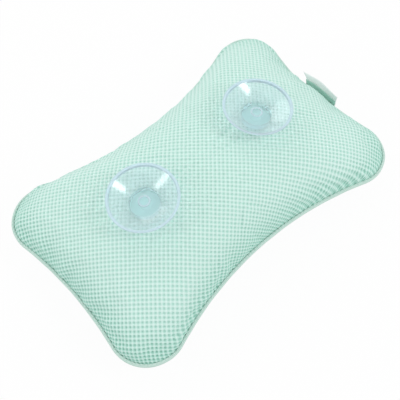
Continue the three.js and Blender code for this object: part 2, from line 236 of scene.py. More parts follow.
def outline_length(inset):
    """Length of the closed outline."""
    points = outline(inset, MEASURE_COUNT)
    return np.linalg.norm(points - np.roll(points, 1, axis=0), axis=1).sum()


def unit(vectors):
    """Vectors scaled to a length of 1."""
    return vectors / np.maximum(np.linalg.norm(vectors, axis=-1, keepdims=True), TINY)


def clockwise(directions):
    """Directions in a plane, turned clockwise by a quarter turn."""
    return np.stack([directions[:, 1], -directions[:, 0]], axis=-1)


def outline_frame(inset, count):
    """Evenly spaced points along the outline, and the outward direction at each, in plan."""
    points = outline(inset, count)
    along = np.roll(points, -1, axis=0) - np.roll(points, 1, axis=0)
    return points, unit(clockwise(along))


print(f"outline: {outline_length(0):.3f} m round the edge")

# %% [markdown]
# ## The two stuffed halves
# Each half of the cover is a dome that rises steeply from the seam and stays nearly level over its crown.
# Every level ring of it is an oval near the middle and takes on the lobes towards the seam. The front is
# pressed flat where the pillow lies on it. A half is written as a function of a share, from 0 in the
# middle to 1 at the seam, and of the angle round the middle.

# %% Form of the stuffed halves
BACK_CROWN = 47 * MM
FRONT_CROWN = 40 * MM
CROWN_FULLNESS = 3
SIDE_STEEPNESS = 0.57
LOBE_REACH = 1.9
PANEL_INSET = 2.7 * MM  # from the bound edge to the stuffed part
FLANGE_TOP = 0.95 * MM  # of the cloth over the seam's middle, where the panel is sewn
PRESS_ROUND = 3 * MM  # how softly the pressed part of the front runs into the rest
EDGE_COUNT = 4096

EDGE_POINTS, EDGE_OUT = outline_frame(PANEL_INSET, EDGE_COUNT)
EDGE_ANGLE = np.arctan2(EDGE_POINTS[:, 1], EDGE_POINTS[:, 0])
EDGE_RADIUS = np.hypot(EDGE_POINTS[:, 0], EDGE_POINTS[:, 1])


def soft_min(a, b, width):
    """The smaller of two values, rounded off over a width where they are nearly equal."""
    near = np.maximum(width - np.abs(a - b), 0) / width
    return np.minimum(a, b) - near**2 * width / 4


def edge_radius(angle):
    """Distance from the middle to the stuffed part's edge."""
    return np.interp(angle, EDGE_ANGLE, EDGE_RADIUS, period=2 * math.pi)


def face_points(share, angle, side):
    """Outer face of a half: t is the sine of the share's quarter turn. The radius is t times an oval's,
    which turns into the edge's by a power of t, and the height falls from the crown by powers of t."""
    t = np.sin(share * math.pi / 2)
    half_length, half_width = WAIST_X - PANEL_INSET, WAIST_Y - PANEL_INSET
    oval = 1 / np.hypot(np.cos(angle) / half_length, np.sin(angle) / half_width)
    lobed = t**LOBE_REACH
    radius = t * (oval * (1 - lobed) + edge_radius(angle) * lobed)
    crown = BACK_CROWN if side > 0 else FRONT_CROWN
    fall = np.maximum(1 - t**CROWN_FULLNESS, 0) ** SIDE_STEEPNESS
    height = FLANGE_TOP + (crown - FLANGE_TOP) * fall
    if side < 0:
        height = soft_min(height, SEAM_HEIGHT, PRESS_ROUND)
    return np.stack([radius * np.cos(angle), radius * np.sin(angle), SEAM_HEIGHT + side * height], axis=-1)


print("top of the back:", face_points(np.zeros(1), np.zeros(1), 1)[0])

# %% [markdown]
# ## Puffing the cover with a cloth simulation
# A stuffed cover isn't a smooth dome. Its cloth is sewn to an edge that is shorter than the cloth, so it
# puckers along the seam and strains between the places that hold it. Blender's Cloth gives that: a closed
# copy of the cover is slightly enlarged, held at the seam, under the cups and where it lies, and blown up
# from the inside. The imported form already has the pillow's height, so only the puckers are kept: the part
# of the movement, square to the cloth, that changes quickly on the way round.

# %% Closed surfaces from rings of points


def capped_rings(rows):
    """Points and faces of a closed surface through rings of points. The first and the last row are one
    place each, and the rings between them go round anticlockwise as they come down."""
    count = rows.shape[1]
    body = rows[1:-1]
    points = np.concatenate([body.reshape(-1, 3), rows[0, :1], rows[-1, :1]])
    here = np.arange(count)
    following = (here + 1) % count
    first, last, bottom = body.size // 3, body.size // 3 + 1, body.size // 3 - count
    top_fan = np.stack([np.full(count, first), here, following], axis=-1)
    bottom_fan = np.stack([np.full(count, last), bottom + following, bottom + here], axis=-1)
    return points, grid_quads(len(body), count, wrap_columns=True), np.concatenate([top_fan, bottom_fan])


def smooth_step(value, start, stop):
    """Runs from 0 at start to 1 at stop, level at both ends."""
    share = np.clip((value - start) / (stop - start), 0, 1)
    return share * share * (3 - 2 * share)


print("a smooth step, a quarter of the way along:", smooth_step(0.25, 0, 1))

# %% The places where the cups hold the cloth
CUP_SIDES = ("left", "right")


def cup_frame(name):
    """Place of a cup on the cloth and the direction of its axis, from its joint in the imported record."""
    joint = next(row for row in frame["joints"] if row["name"] == f"{name}_cup_spin")
    return np.array(joint["pos_m"]), np.array(joint["axis"])


def cup_coordinates(points, name):
    """Distance of points from a cup's axis, and their height along it from the cloth."""
    place, axis = cup_frame(name)
    offset = points - place
    height = offset @ axis
    return np.linalg.norm(offset - height[..., None] * axis, axis=-1), height


for cup in CUP_SIDES:
    print(f"{cup} cup: place {cup_frame(cup)[0]}, axis {cup_frame(cup)[1]}")

# %% Grid for the simulation
SIM_RINGS = 30  # from the middle of a half to the seam
SIM_SPOKES = 192


def whole_turn(count):
    """Angles at even steps round a whole turn."""
    return np.linspace(0, 2 * math.pi, count, endpoint=False)


def polar_grid(rings, spokes):
    """Shares from 0 to 1 and angles round a whole turn, as two arrays on one grid."""
    return np.broadcast_arrays(np.linspace(0, 1, rings)[:, None], whole_turn(spokes)[None, :])


def grid_normals(grid, side):
    """Normals of a half's grid: the way out from the middle crossed with the way round."""
    out = np.gradient(grid, axis=0)
    round_way = np.roll(grid, -1, axis=1) - np.roll(grid, 1, axis=1)
    return unit(np.cross(out, round_way) * side)


halves = {side: face_points(*polar_grid(SIM_RINGS + 1, SIM_SPOKES), side) for side in (1, -1)}
print(f"simulation grid: {SIM_RINGS} rings of {SIM_SPOKES} points on each half")

# %% Cloth that is blown up from the inside
SIM_FRAMES = 20
CLOTH_EXCESS = 0.035  # how much larger the cut cloth is than the form that it fills


def blow_up(points, quads, triangles, held):
    """Movement of a closed mesh in Blender's Cloth, with pressure inside and some points held."""
    piece = new_piece("cover_simulation", points, quads, triangles)
    piece.vertex_groups.new(name="held").add(np.flatnonzero(held).tolist(), 1.0, "REPLACE")
    cloth = piece.modifiers.new("Cloth", "CLOTH").settings
    cloth.quality = 6
    cloth.mass = 0.15
    cloth.tension_stiffness = 12
    cloth.compression_stiffness = 12
    cloth.shear_stiffness = 4
    cloth.bending_stiffness = 0.4
    cloth.shrink_min = -CLOTH_EXCESS
    cloth.use_pressure = True
    cloth.uniform_pressure_force = 4
    cloth.vertex_group_mass = "held"
    cloth.effector_weights.gravity = 0
    for number in range(1, SIM_FRAMES + 1):
        bpy.context.scene.frame_set(number)
    result = piece.evaluated_get(bpy.context.evaluated_depsgraph_get()).to_mesh()
    moved = np.empty(len(points) * 3, np.float32)
    result.vertices.foreach_get("co", moved)
    bpy.context.scene.frame_set(1)
    bpy.data.objects.remove(piece)
    return moved.reshape(-1, 3) - points


print(f"cloth: {CLOTH_EXCESS:.1%} larger than the form, run for {SIM_FRAMES} frames")

# %% Puckers from the simulation
HELD_ROUND_CUP = 15 * MM
HELD_ON_FLOOR = 0.5 * MM  # points that lie lower are held
PUCKERS_FROM = 14  # waves round the pillow: fewer are the slow swelling, which the form has already
PUCKERS_TO = 64  # more are finer than the grid can show
PUCKER_LIMIT = 1.6 * MM


def simulated_puckers():
    """Puckers of the back and front: movement along the normals, less its slow and its finest waves."""
    seam = (halves[1][-1:] + halves[-1][-1:]) / 2
    points, quads, triangles = capped_rings(np.concatenate([halves[1][:-1], seam, halves[-1][-2::-1]]))
    held = points[:, 2] < HELD_ON_FLOOR
    held[(SIM_RINGS - 1) * SIM_SPOKES:SIM_RINGS * SIM_SPOKES] = True
    for name in CUP_SIDES:
        held |= (cup_coordinates(points, name)[0] < HELD_ROUND_CUP) & (points[:, 2] > SEAM_HEIGHT)
    moved = blow_up(points, quads, triangles, held)
    rings = moved[:-2].reshape(-1, SIM_SPOKES, 3)
    pole = np.zeros((1, SIM_SPOKES, 3))
    shifts = {1: np.concatenate([pole, rings[:SIM_RINGS]]),
              -1: np.concatenate([pole, rings[:SIM_RINGS - 2:-1]])}
    puckers = {}
    for side, shift in shifts.items():
        waves = np.fft.rfft((shift * grid_normals(halves[side], side)).sum(axis=-1), axis=1)
        waves[:, :PUCKERS_FROM] = 0
        waves[:, PUCKERS_TO:] = 0
        pucker = np.fft.irfft(waves, SIM_SPOKES, axis=1)
        puckers[side] = PUCKER_LIMIT * np.tanh(pucker / PUCKER_LIMIT)
    return puckers


puckers = simulated_puckers()
print(f"puckers: up to {np.abs(puckers[1]).max() / MM:.2f} mm on the back")

# %% [markdown]
# ## The cloth's face, with its puckers and the seats of the cups
# Now the face of either half can be asked for at any share and angle. The puckers are read from their
# grid by cubic interpolation, so that the fine surface has no facets of the coarse one. Under each hub
# the neck has drawn the cloth flat, so the height along the cup's axis is held down there and let go
# softly around it.

# %% Smooth values and slopes between the points of a grid
DIFFERENCE = 1e-3  # step in share and angle for slopes


def cubic_weights(fraction):
    """Weights of four neighbours for a smooth curve through the middle two."""
    f, f2, f3 = fraction, fraction**2, fraction**3
    return ((2 * f2 - f - f3) / 2, (2 - 5 * f2 + 3 * f3) / 2, (f + 4 * f2 - 3 * f3) / 2, (f3 - f2) / 2)


def sample_grid(values, share, angle):
    """Cubic interpolation in a grid of shares, from 0 to 1, and of angles round a whole turn."""
    rows, columns = values.shape
    row = np.clip(share, 0, 1) * (rows - 1)
    column = np.mod(angle / (2 * math.pi), 1) * columns
    first_row = np.floor(row).astype(int)
    first_column = np.floor(column).astype(int)
    total = 0
    for i, row_weight in enumerate(cubic_weights(row - first_row)):
        at_row = np.clip(first_row + i - 1, 0, rows - 1)
        for j, column_weight in enumerate(cubic_weights(column - first_column)):
            total = total + row_weight * column_weight * values[at_row, (first_column + j - 1) % columns]
    return total


def difference_normals(surface, share, angle, side):
    """Normals of a surface of share and angle: the cross product of its two slopes, by differences."""
    share = np.clip(share, 2 * DIFFERENCE, 1 - 2 * DIFFERENCE)
    out = surface(share + DIFFERENCE, angle, side) - surface(share - DIFFERENCE, angle, side)
    round_way = surface(share, angle + DIFFERENCE, side) - surface(share, angle - DIFFERENCE, side)
    return unit(np.cross(out, round_way) * side)


print("weights halfway between two points:", cubic_weights(0.5))

# %% Face of the cover
SEAT_FLAT = 13.5 * MM  # radius of the cloth drawn flat under a hub
SEAT_END = 25 * MM  # radius where the cloth is free again
SEAT_RISE = 2.2 * MM
SEAT_ROUND = 0.8 * MM


def cover_points(share, angle, side):
    """Outer face of the cover: the form, moved along its normal by the puckers, held down at the cups."""
    points = face_points(share, angle, side)
    pucker = sample_grid(puckers[side], share, angle)
    if side > 0:
        for name in CUP_SIDES:
            pucker = pucker * smooth_step(cup_coordinates(points, name)[0], SEAT_FLAT, 2 * SEAT_FLAT)
    points = points + pucker[..., None] * difference_normals(face_points, share, angle, side)
    if side > 0:
        for name in CUP_SIDES:
            distance, height = cup_coordinates(points, name)
            limit = SEAT_RISE * smooth_step(distance, SEAT_FLAT, SEAT_END)
            limit = limit + np.maximum(distance - SEAT_END, 0)
            lowered = soft_min(height, limit, SEAT_ROUND) - height
            points = points + lowered[..., None] * cup_frame(name)[1]
    return points


share_near_cup, left_side = np.array([0.28]), np.array([math.pi])
print("cloth by the left cup:", cover_points(share_near_cup, left_side, 1)[0])

# %% [markdown]
# ## Cutting the mesh flat
# The knitted holes lie in even rows on the flat cloth and stay even as it is drawn over the stuffing. So
# the lattice of holes is laid out on flat cloth: a place on it has a direction and a distance from the
# middle, and the distance is measured along the curved face in that direction. A table of lengths along
# each meridian turns the distance back into a share. Past the seam the cloth goes on as a flange, which
# ends inside the binding.

# %% From flat cloth to the face
TABLE_SHARES = 240
TABLE_ANGLES = 720
FLANGE_REACH = 1.5 * MM
FLANGE_BEND = (-0.5 * MM, 1.5 * MM)  # distances to the seam between which the cloth turns level
HALVINGS = 15


def meridian_lengths(side):
    """Lengths along the meridians of a half, from its middle, on a grid of shares and angles."""
    points = face_points(*polar_grid(TABLE_SHARES, TABLE_ANGLES), side)
    steps = np.linalg.norm(np.diff(points, axis=0), axis=-1)
    return np.concatenate([np.zeros((1, TABLE_ANGLES)), np.cumsum(steps, axis=0)])


LENGTHS = {side: meridian_lengths(side) for side in (1, -1)}


def seam_length(angle, side):
    """Distance on flat cloth from the middle to the seam."""
    return sample_grid(LENGTHS[side], np.ones_like(angle), angle)


def share_at(length, angle, side):
    """Share at which a meridian has run a given length, by halving the span where it lies."""
    low, high = np.zeros_like(length), np.ones_like(length)
    for _ in range(HALVINGS):
        middle = (low + high) / 2
        short = sample_grid(LENGTHS[side], middle, angle) < length
        low, high = np.where(short, middle, low), np.where(short, high, middle)
    return (low + high) / 2


def drawn_over(flat, side):
    """Points, normals and distances to the seam of places on flat cloth, once it is drawn over a half."""
    length = np.hypot(flat[:, 0], flat[:, 1])
    angle = np.arctan2(flat[:, 1], flat[:, 0])
    to_seam = seam_length(angle, side) - length
    share = share_at(length, angle, side)
    points = cover_points(share, angle, side)
    normals = difference_normals(cover_points, share, angle, side)
    out = [np.interp(angle, EDGE_ANGLE, part, period=2 * math.pi) for part in EDGE_OUT.T]
    points[:, :2] += np.clip(-to_seam, 0, FLANGE_REACH)[:, None] * np.stack(out, axis=-1)
    wall = smooth_step(to_seam, *FLANGE_BEND)[:, None]
    normals = normals * wall + np.array([0, 0, side]) * (1 - wall)
    return points, unit(normals), to_seam


cut_length, cut_width = 2 * LENGTHS[1][-1, [0, TABLE_ANGLES // 4]]
print(f"flat cloth of the back: {cut_length:.3f} m along the middle and {cut_width:.3f} m across it")

# %% [markdown]
# ## The spacer mesh
# Spacer mesh is knitted as two faces with upright yarns between them. Its outer face has a round hole in
# each cell of a square lattice, and the ground shows darker at the bottom of the holes. A bump in the
# material would lie flat at the pillow's edge, so each cell is real geometry: a square with a hole that
# narrows down to a floor. Cells share the points on their borders, which keeps the face in one piece. The
# same points, set in by the cloth's thickness, close the back of the panel.

# %% Cells of the spacer mesh
CELL_PITCH = 3.45 * MM
LATTICE_TURN = math.radians(48)  # of the rows of holes from the pillow's length
EDGE_SPILL = 1 * MM  # cells whose nearest point lies further past the seam are left out
NECK_OPENING = 7.4 * MM  # cells nearer to a cup's axis are left out, for its neck
SPARE_CELLS = 2  # laid out past the furthest point of the seam
CELL_POINTS = 8  # corners and middles of the sides
CELL_TURN = (1 + np.arange(CELL_POINTS)) * 2 * math.pi / CELL_POINTS  # their directions, from a corner
CELL_SPOKES = np.stack([np.cos(CELL_TURN), np.sin(CELL_TURN)], axis=-1)
CELL_RING = np.rint(math.sqrt(2) * CELL_SPOKES).astype(int)  # their places, in half pitches


def flat_places(half_steps):
    """Places on flat cloth of lattice coordinates in half pitches: turned, then scaled."""
    turn = np.array([[math.cos(LATTICE_TURN), math.sin(LATTICE_TURN)],
                     [-math.sin(LATTICE_TURN), math.cos(LATTICE_TURN)]])
    return np.asarray(half_steps) @ turn * CELL_PITCH / 2


def panel_cells(side):
    """Middles, in half pitches, of the cells that cover a panel, less those round the cups' necks."""
    reach = int(LENGTHS[side][-1].max() / CELL_PITCH) + SPARE_CELLS
    whole = np.arange(-reach, reach + 1)
    middles = 2 * np.stack(np.meshgrid(whole, whole, indexing="ij"), axis=-1).reshape(-1, 2)
    corners = flat_places(middles[:, None, :] + CELL_RING)
    past_seam = np.hypot(corners[..., 0], corners[..., 1])
    past_seam -= seam_length(np.arctan2(corners[..., 1], corners[..., 0]), side)
    middles = middles[past_seam.min(axis=1) < EDGE_SPILL]
    if side > 0:
        points = drawn_over(flat_places(middles), side)[0]
        clear = [cup_coordinates(points, name)[0] > NECK_OPENING for name in CUP_SIDES]
        middles = middles[clear[0] & clear[1]]
    return middles


def numbered(keys):
    """Whole-number places without repeats, and the number of each key's place among them."""
    unique, number = np.unique(keys.reshape(-1, 2), axis=0, return_inverse=True)
    return unique, number.reshape(keys.shape[:-1])


def open_sides(middles):
    """Which of each cell's four sides, from the side after its first corner, have no neighbour. A middle
    is coded as one number: its row times a width that no step along a row reaches, plus its column."""
    width = 4 * np.abs(middles).max() + CELL_POINTS
    code = middles @ (width, 1)
    sides = 2 * CELL_RING[1::2] @ (width, 1)
    return ~np.isin(code[:, None] + sides[None, :], code)


back_cells = panel_cells(1)
print(f"spacer mesh of the back: {len(back_cells)} cells")

# %% Faces of the cells


def panel_faces(ring, lip, wall, floor, inner, edge):
    """Faces of all cells: border to lip, lip to wall, wall to floor, the back, and walls at open sides."""
    after = np.roll(np.arange(CELL_POINTS), -1)

    def band(outside, inside):
        return np.stack([outside, outside[:, after], inside[:, after], inside], axis=-1).reshape(-1, 4)

    bottoms = np.stack([wall, wall[:, after], np.broadcast_to(floor[:, None], wall.shape)], axis=-1)
    quads = [band(ring, lip), band(lip, wall), inner[:, ::-1]]
    first, middle, last = ring[:, 0::2], ring[:, 1::2], np.roll(ring[:, 0::2], -1, axis=1)
    low_first, low_last = inner, np.roll(inner, -1, axis=1)
    quads.append(np.stack([middle, first, low_first, low_last], axis=-1)[edge])
    tips = np.stack([last, middle, low_last], axis=-1)[edge]
    return np.concatenate(quads), np.concatenate([bottoms.reshape(-1, 3), tips])


print(f"sides of the back's cells without a neighbour: {open_sides(back_cells).sum()}")

# %% Panels of spacer mesh
LIP_SHARE = 0.35  # radius of a hole at the face, as a share of the pitch
FLOOR_SHARE = 0.25
BRIDGE_DEPTH = 0.12 * MM  # yarn between two holes lies lower than between four
LIP_DEPTH = 0.15 * MM
WALL_DEPTH = 0.8 * MM
FLOOR_DEPTH = 1.4 * MM
PANEL_T = 3 * MM
FLANGE_T = 0.8 * MM
FLANGE_TAPER = (-1 * MM, 3 * MM)  # distances to the seam between which the panel thins to its flange
SEAM_SHADE = 45 * MM  # how far from the seam the cloth is painted with shade


def spacer_panel(name, cells, side):
    """A panel of spacer mesh: each point is a place on flat cloth, sunk square to the face by its depth."""
    border, ring = numbered(cells[:, None, :] + CELL_RING)
    lips = (cells[:, None, :] + 2 * LIP_SHARE * CELL_SPOKES).reshape(-1, 2)
    walls = (cells[:, None, :] + 2 * FLOOR_SHARE * CELL_SPOKES).reshape(-1, 2)
    corners, inner = numbered(cells[:, None, :] + CELL_RING[::2])
    bridge = np.where((border % 2 == 0).any(axis=1), BRIDGE_DEPTH, 0)
    groups = [(border, bridge), (lips, LIP_DEPTH), (walls, WALL_DEPTH), (cells, FLOOR_DEPTH),
              (corners, PANEL_T)]
    flat = flat_places(np.concatenate([places for places, _ in groups]))
    depth = np.concatenate([np.broadcast_to(value, len(places)) for places, value in groups])
    points, normals, to_seam = drawn_over(flat, side)
    thin = FLANGE_T / PANEL_T
    depth_here = depth * (thin + (1 - thin) * smooth_step(to_seam, *FLANGE_TAPER))
    starts = np.cumsum([0] + [len(places) for places, _ in groups])
    count = len(cells)
    places_round = np.arange(CELL_POINTS * count).reshape(count, CELL_POINTS)
    quads, triangles = panel_faces(
        ring,
        starts[1] + places_round,
        starts[2] + places_round,
        starts[3] + np.arange(count),
        starts[4] + inner,
        open_sides(cells),
    )
    if side < 0:
        quads, triangles = quads[:, ::-1], triangles[:, ::-1]
    # how deep a point lies: it paints the knots paler and the holes' walls darker with depth, a painted
    # highlight and painted shade
    sunk = np.clip(depth / FLOOR_DEPTH, 0, 1)
    # painted shade along the seam: 1 at the seam, fading to 0 at SEAM_SHADE from it
    seam_shade_share = 1 - smooth_step(to_seam, 0, SEAM_SHADE)
    attributes = {"sunk": sunk, "seam_shade_share": seam_shade_share}
    return new_piece(name, points - depth_here[:, None] * normals, quads, triangles, attributes)


back_mesh = spacer_panel("back_mesh", back_cells, 1)
front_mesh = spacer_panel("front_mesh", panel_cells(-1), -1)
for panel, node in ((back_mesh, "back_panel"), (front_mesh, "front_panel")):
    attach(panel, "cover")
    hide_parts(node)
    report_piece(panel)

# %% [markdown]
# ## The bound edge
# A narrow woven tape is folded over the raw edges of both panels and sewn through. It could be a pipe
# with a bump, but its fold shows along the near side of the pillow, so its section is drawn: two legs
# joined by a round fold, with the corners softened. The section is carried round the outline. Each stitch
# pulls the tape in a little, and hand-fed tape wanders slightly, so both are added as waves with a whole
# number of periods round the edge.

# %% Softened sections
CUT_LIMIT = 0.45  # the most of a side that the rounding of a corner takes


def soften(corners, cut, steps, closed=True):
    """A section with rounded corners: each is a quadratic curve from cut before it to cut after it."""
    corners = np.asarray(corners, float)
    before = np.roll(corners, 1, axis=0) - corners
    after = np.roll(corners, -1, axis=0) - corners
    start = corners + before * np.minimum(cut / np.linalg.norm(before, axis=1), CUT_LIMIT)[:, None]
    stop = corners + after * np.minimum(cut / np.linalg.norm(after, axis=1), CUT_LIMIT)[:, None]
    s = np.linspace(0, 1, steps)[None, :, None]
    curves = (1 - s) ** 2 * start[:, None] + 2 * s * (1 - s) * corners[:, None] + s**2 * stop[:, None]
    if closed:
        return curves.reshape(-1, 2)
    return np.concatenate([corners[:1], curves[1:-1].reshape(-1, 2), corners[-1:]])


print("a triangle with softened corners has", len(soften([(0, 0), (1, 0), (0, 1)], 0.1, 4)), "points")

# %% Edge binding
BINDING_WIDTH = 2.4 * MM
BINDING_T = 0.7 * MM
BINDING_TOP = 1.95 * MM  # over the seam's middle
BINDING_STEPS = 1440  # round the pillow
STITCH_LENGTH = 3.5 * MM
STITCH_PULL = 0.22 * MM
STITCH_INSET = 1.5 * MM
STITCH_SINK = 0.1 * MM  # of the tape along its stitches
LIP_SINK = 0.2 * MM  # of the tape at its inner edges
FOLD_INSET = 0.8 * MM
TAPE_CUT = 0.6 * MM
TAPE_CUT_STEPS = 4
TAPE_WANDER = 0.14 * MM
STITCH_COUNT = round(outline_length(STITCH_INSET) / STITCH_LENGTH)
WANDER_WAVES = (17, 29, 43)  # round the pillow


def binding_section():
    """Inset and height of the folded tape's section: from its upper lip round the fold, back inside."""
    w, t, top = BINDING_WIDTH, BINDING_T, BINDING_TOP
    upper = [(w, top - t), (w, top - LIP_SINK), (STITCH_INSET, top - STITCH_SINK), (FOLD_INSET, top),
             (0, top - t)]
    lower = [(inset, -height) for inset, height in reversed(upper)]
    return soften(upper + lower + [(t, t - top), (t, top - t)], TAPE_CUT, TAPE_CUT_STEPS)


def folded_tape():
    """The section carried round the outline. Stitches pull its legs together, and slow waves shift it."""
    section = binding_section()
    points, out = outline_frame(0, BINDING_STEPS)
    turn = whole_turn(BINDING_STEPS)
    wander = sum(np.sin(waves * turn + waves) for waves in WANDER_WAVES) * TAPE_WANDER / len(WANDER_WAVES)
    pull = (1 + np.cos(STITCH_COUNT * turn)) / 2 * STITCH_PULL
    on_outside = np.abs(section[:, 1]) > BINDING_TOP - BINDING_T
    near_stitch = smooth_step(section[:, 0], 0, STITCH_INSET) * on_outside
    height = section[:, 1] - np.sign(section[:, 1]) * near_stitch * pull[:, None]
    plan = points[:, None, :] - (section[None, :, 0] + wander[:, None])[..., None] * out[:, None, :]
    rows = np.concatenate([plan, SEAM_HEIGHT + height[..., None]], axis=-1)
    along = turn / (2 * math.pi) * outline_length(0)
    across = np.cumsum(np.linalg.norm(np.diff(section, axis=0, prepend=section[:1]), axis=1))
    uv = np.stack(np.broadcast_arrays(along[:, None], across[None, :]), axis=-1)
    quads = grid_quads(*rows.shape[:2], wrap_rows=True, wrap_columns=True)
    return new_piece("edge_tape", rows, quads[:, ::-1], uv=uv)


edge_tape = folded_tape()
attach(edge_tape, "cover")
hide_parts("edge_binding")
report_piece(edge_tape)

# %% [markdown]
# ## Stitches
# A lockstitch shows as a row of short threads, each of which dives into the tape at both ends. One stitch
# is a slim closed bean, made once as rings, and set along the edge for every stitch by adding its three
# coordinates times the directions along, across and up.

# %% Lockstitches
STITCH_SHARE = 0.78  # of a stitch's length that lies on top
STITCH_RADIUS = 0.32 * MM
STITCH_RINGS = 7
STITCH_SIDES = 6


def stitch_bean():
    """Rings of a bean along its length: the height follows half a sine, and the radius its square root."""
    share = np.linspace(0, 1, STITCH_RINGS)[:, None]
    turn = whole_turn(STITCH_SIDES)[None, :]
    radius = STITCH_RADIUS * np.sqrt(np.maximum(np.sin(math.pi * share), 0))
    along = (0.5 - share) * STITCH_SHARE * STITCH_LENGTH + 0 * turn
    lift = STITCH_RADIUS * (np.sin(math.pi * share) - 0.5)
    return np.stack([along, radius * np.cos(turn), radius * np.sin(turn) + lift], axis=-1)


def stitch_row(name, side):
    """All the stitches of one face of the edge, between the places where the tape is pulled in."""
    points, out = outline_frame(STITCH_INSET, STITCH_COUNT * 2)
    points, out = points[1::2], out[1::2]
    along = clockwise(out)
    bean, quads, triangles = capped_rings(stitch_bean())
    plan = points[:, None] + bean[None, :, :1] * along[:, None] + bean[None, :, 1:2] * out[:, None]
    height = SEAM_HEIGHT + side * (BINDING_TOP - STITCH_SINK + bean[None, :, 2:] + 0 * plan[..., :1])
    shift = (np.arange(STITCH_COUNT) * len(bean))[:, None, None]
    quads, triangles = (quads + shift).reshape(-1, 4), (triangles + shift).reshape(-1, 3)
    if side < 0:
        quads, triangles = quads[:, ::-1], triangles[:, ::-1]
    return new_piece(name, np.concatenate([plan, height], axis=-1), quads, triangles)


stitch_rows = [stitch_row("back_stitches", 1), stitch_row("front_stitches", -1)]
for row, node in zip(stitch_rows, ("seam_thread_back", "seam_thread_front")):
    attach(row, "cover")
    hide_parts(node)
    report_piece(row)

# %% [markdown]
# ## Suction cups
# Each cup is moulded in one piece from soft clear vinyl: a knob inside the cover, a neck through the
# cloth, a hub, and a thin dish with a flat land at its rim. It is a turned shape, so one section is
# carried round the cup's axis. The real one has no sharp edge, and clear material shows every edge as a
# line, so the corners are softened and the dish is a smooth curve.

# %% Section of a cup
CUP_RADIUS = 30 * MM
CUP_STAND = 18 * MM  # from the cloth to the rim
RIM_LAND = 2.2 * MM
RIM_T = 0.5 * MM
DISH_DEPTH = 8.6 * MM
DISH_BULGE = 0.8 * MM
DISH_T = 2 * MM
HUB_RADIUS = 12.75 * MM
HUB_GAP = 0.3 * MM
RING_OUTER = 5.25 * MM
RING_INNER = 3.6 * MM
RING_HEIGHT = 0.9 * MM
NECK_RADIUS = 4.5 * MM
HEAD_RADIUS = 8.5 * MM
HEAD_TOP = 6.5 * MM  # below the cloth
HEAD_BOTTOM = 10.5 * MM
NECK_ROOT = 0.3 * MM  # how far the neck reaches into the hub
EDGE_CUT = 0.55 * MM
EDGE_STEPS = 5
CUP_STEPS = 128
DISH_STEPS = 7


def dish_curve(inner, outer, low, high):
    """Section of a dish's wall: a straight cone that sags by a parabola."""
    share = np.linspace(0, 1, DISH_STEPS)
    return np.stack([inner + (outer - inner) * share,
                     low + (high - low) * share - DISH_BULGE * 4 * share * (1 - share)], axis=-1)


def dish_section():
    """Radius and height of the dish and hub's section, from the dish's middle over the rim to the cloth."""
    floor = CUP_STAND - DISH_DEPTH
    ring_top = floor + RING_HEIGHT
    ring = [(0, floor), (RING_INNER, floor), (RING_INNER, ring_top), (RING_OUTER, ring_top),
            (RING_OUTER, floor)]
    inside = dish_curve(HUB_RADIUS, CUP_RADIUS - RIM_LAND, floor, CUP_STAND)
    outside = dish_curve(HUB_RADIUS, CUP_RADIUS, floor - DISH_T, CUP_STAND - RIM_T)[::-1]
    underside = [(HUB_RADIUS, HUB_GAP), (0, HUB_GAP)]
    rim = [(CUP_RADIUS, CUP_STAND)]
    corners = np.concatenate([ring, inside, rim, outside, underside])
    return soften(corners, EDGE_CUT, EDGE_STEPS, closed=False)


def knob_section():
    """Radius and height of the neck and knob's section, from just inside the hub to the knob's foot."""
    top = HUB_GAP + NECK_ROOT
    knob = [(0, top), (NECK_RADIUS, top), (NECK_RADIUS, -HEAD_TOP), (HEAD_RADIUS, -HEAD_TOP),
            (HEAD_RADIUS, -HEAD_BOTTOM), (0, -HEAD_BOTTOM)]
    return soften(knob, EDGE_CUT, EDGE_STEPS, closed=False)


print(f"cup section: {len(dish_section())} points for the dish and {len(knob_section())} for the knob")

# %% Both cups
# the second finish is a painted highlight on the cups' thin edges
CLEAR, PALE_HIGHLIGHT, FROSTED = range(3)  # the finishes of a cup, in the order in which it gets them


def about_axis(name, radius, height, turn):
    """Points at a distance from a cup's axis and a height along it, turned about it."""
    place, axis = cup_frame(name)
    across = np.array([0.0, 1.0, 0.0])
    other = np.cross(axis, across)
    return (place + height[..., None] * axis + (radius * np.cos(turn))[..., None] * -other
            + (radius * np.sin(turn))[..., None] * across)


def turned(cup, section, steps):
    """Rows of points: a section of radius and height, carried round a cup's axis."""
    turn = whole_turn(steps)[None, :]
    return about_axis(cup, *np.broadcast_arrays(section[:, :1], section[:, 1:], turn))


def dish_finishes(section):
    """Finish of each point of the dish's section: paler as a painted highlight on the rim's land and the
    small ring in the middle, frosted on the hub's underside, which is moulded against a dull tool, and
    clear elsewhere."""
    radius, height = section[:, 0], section[:, 1]
    on_ring = (radius < HUB_RADIUS) & (height > CUP_STAND - DISH_DEPTH + RING_HEIGHT / 2)
    # the rim's land and the ring get the paler finish: a painted highlight
    pale = (radius > CUP_RADIUS - RIM_LAND) | on_ring
    return np.where(height < HUB_GAP + EDGE_CUT, FROSTED, np.where(pale, PALE_HIGHLIGHT, CLEAR))


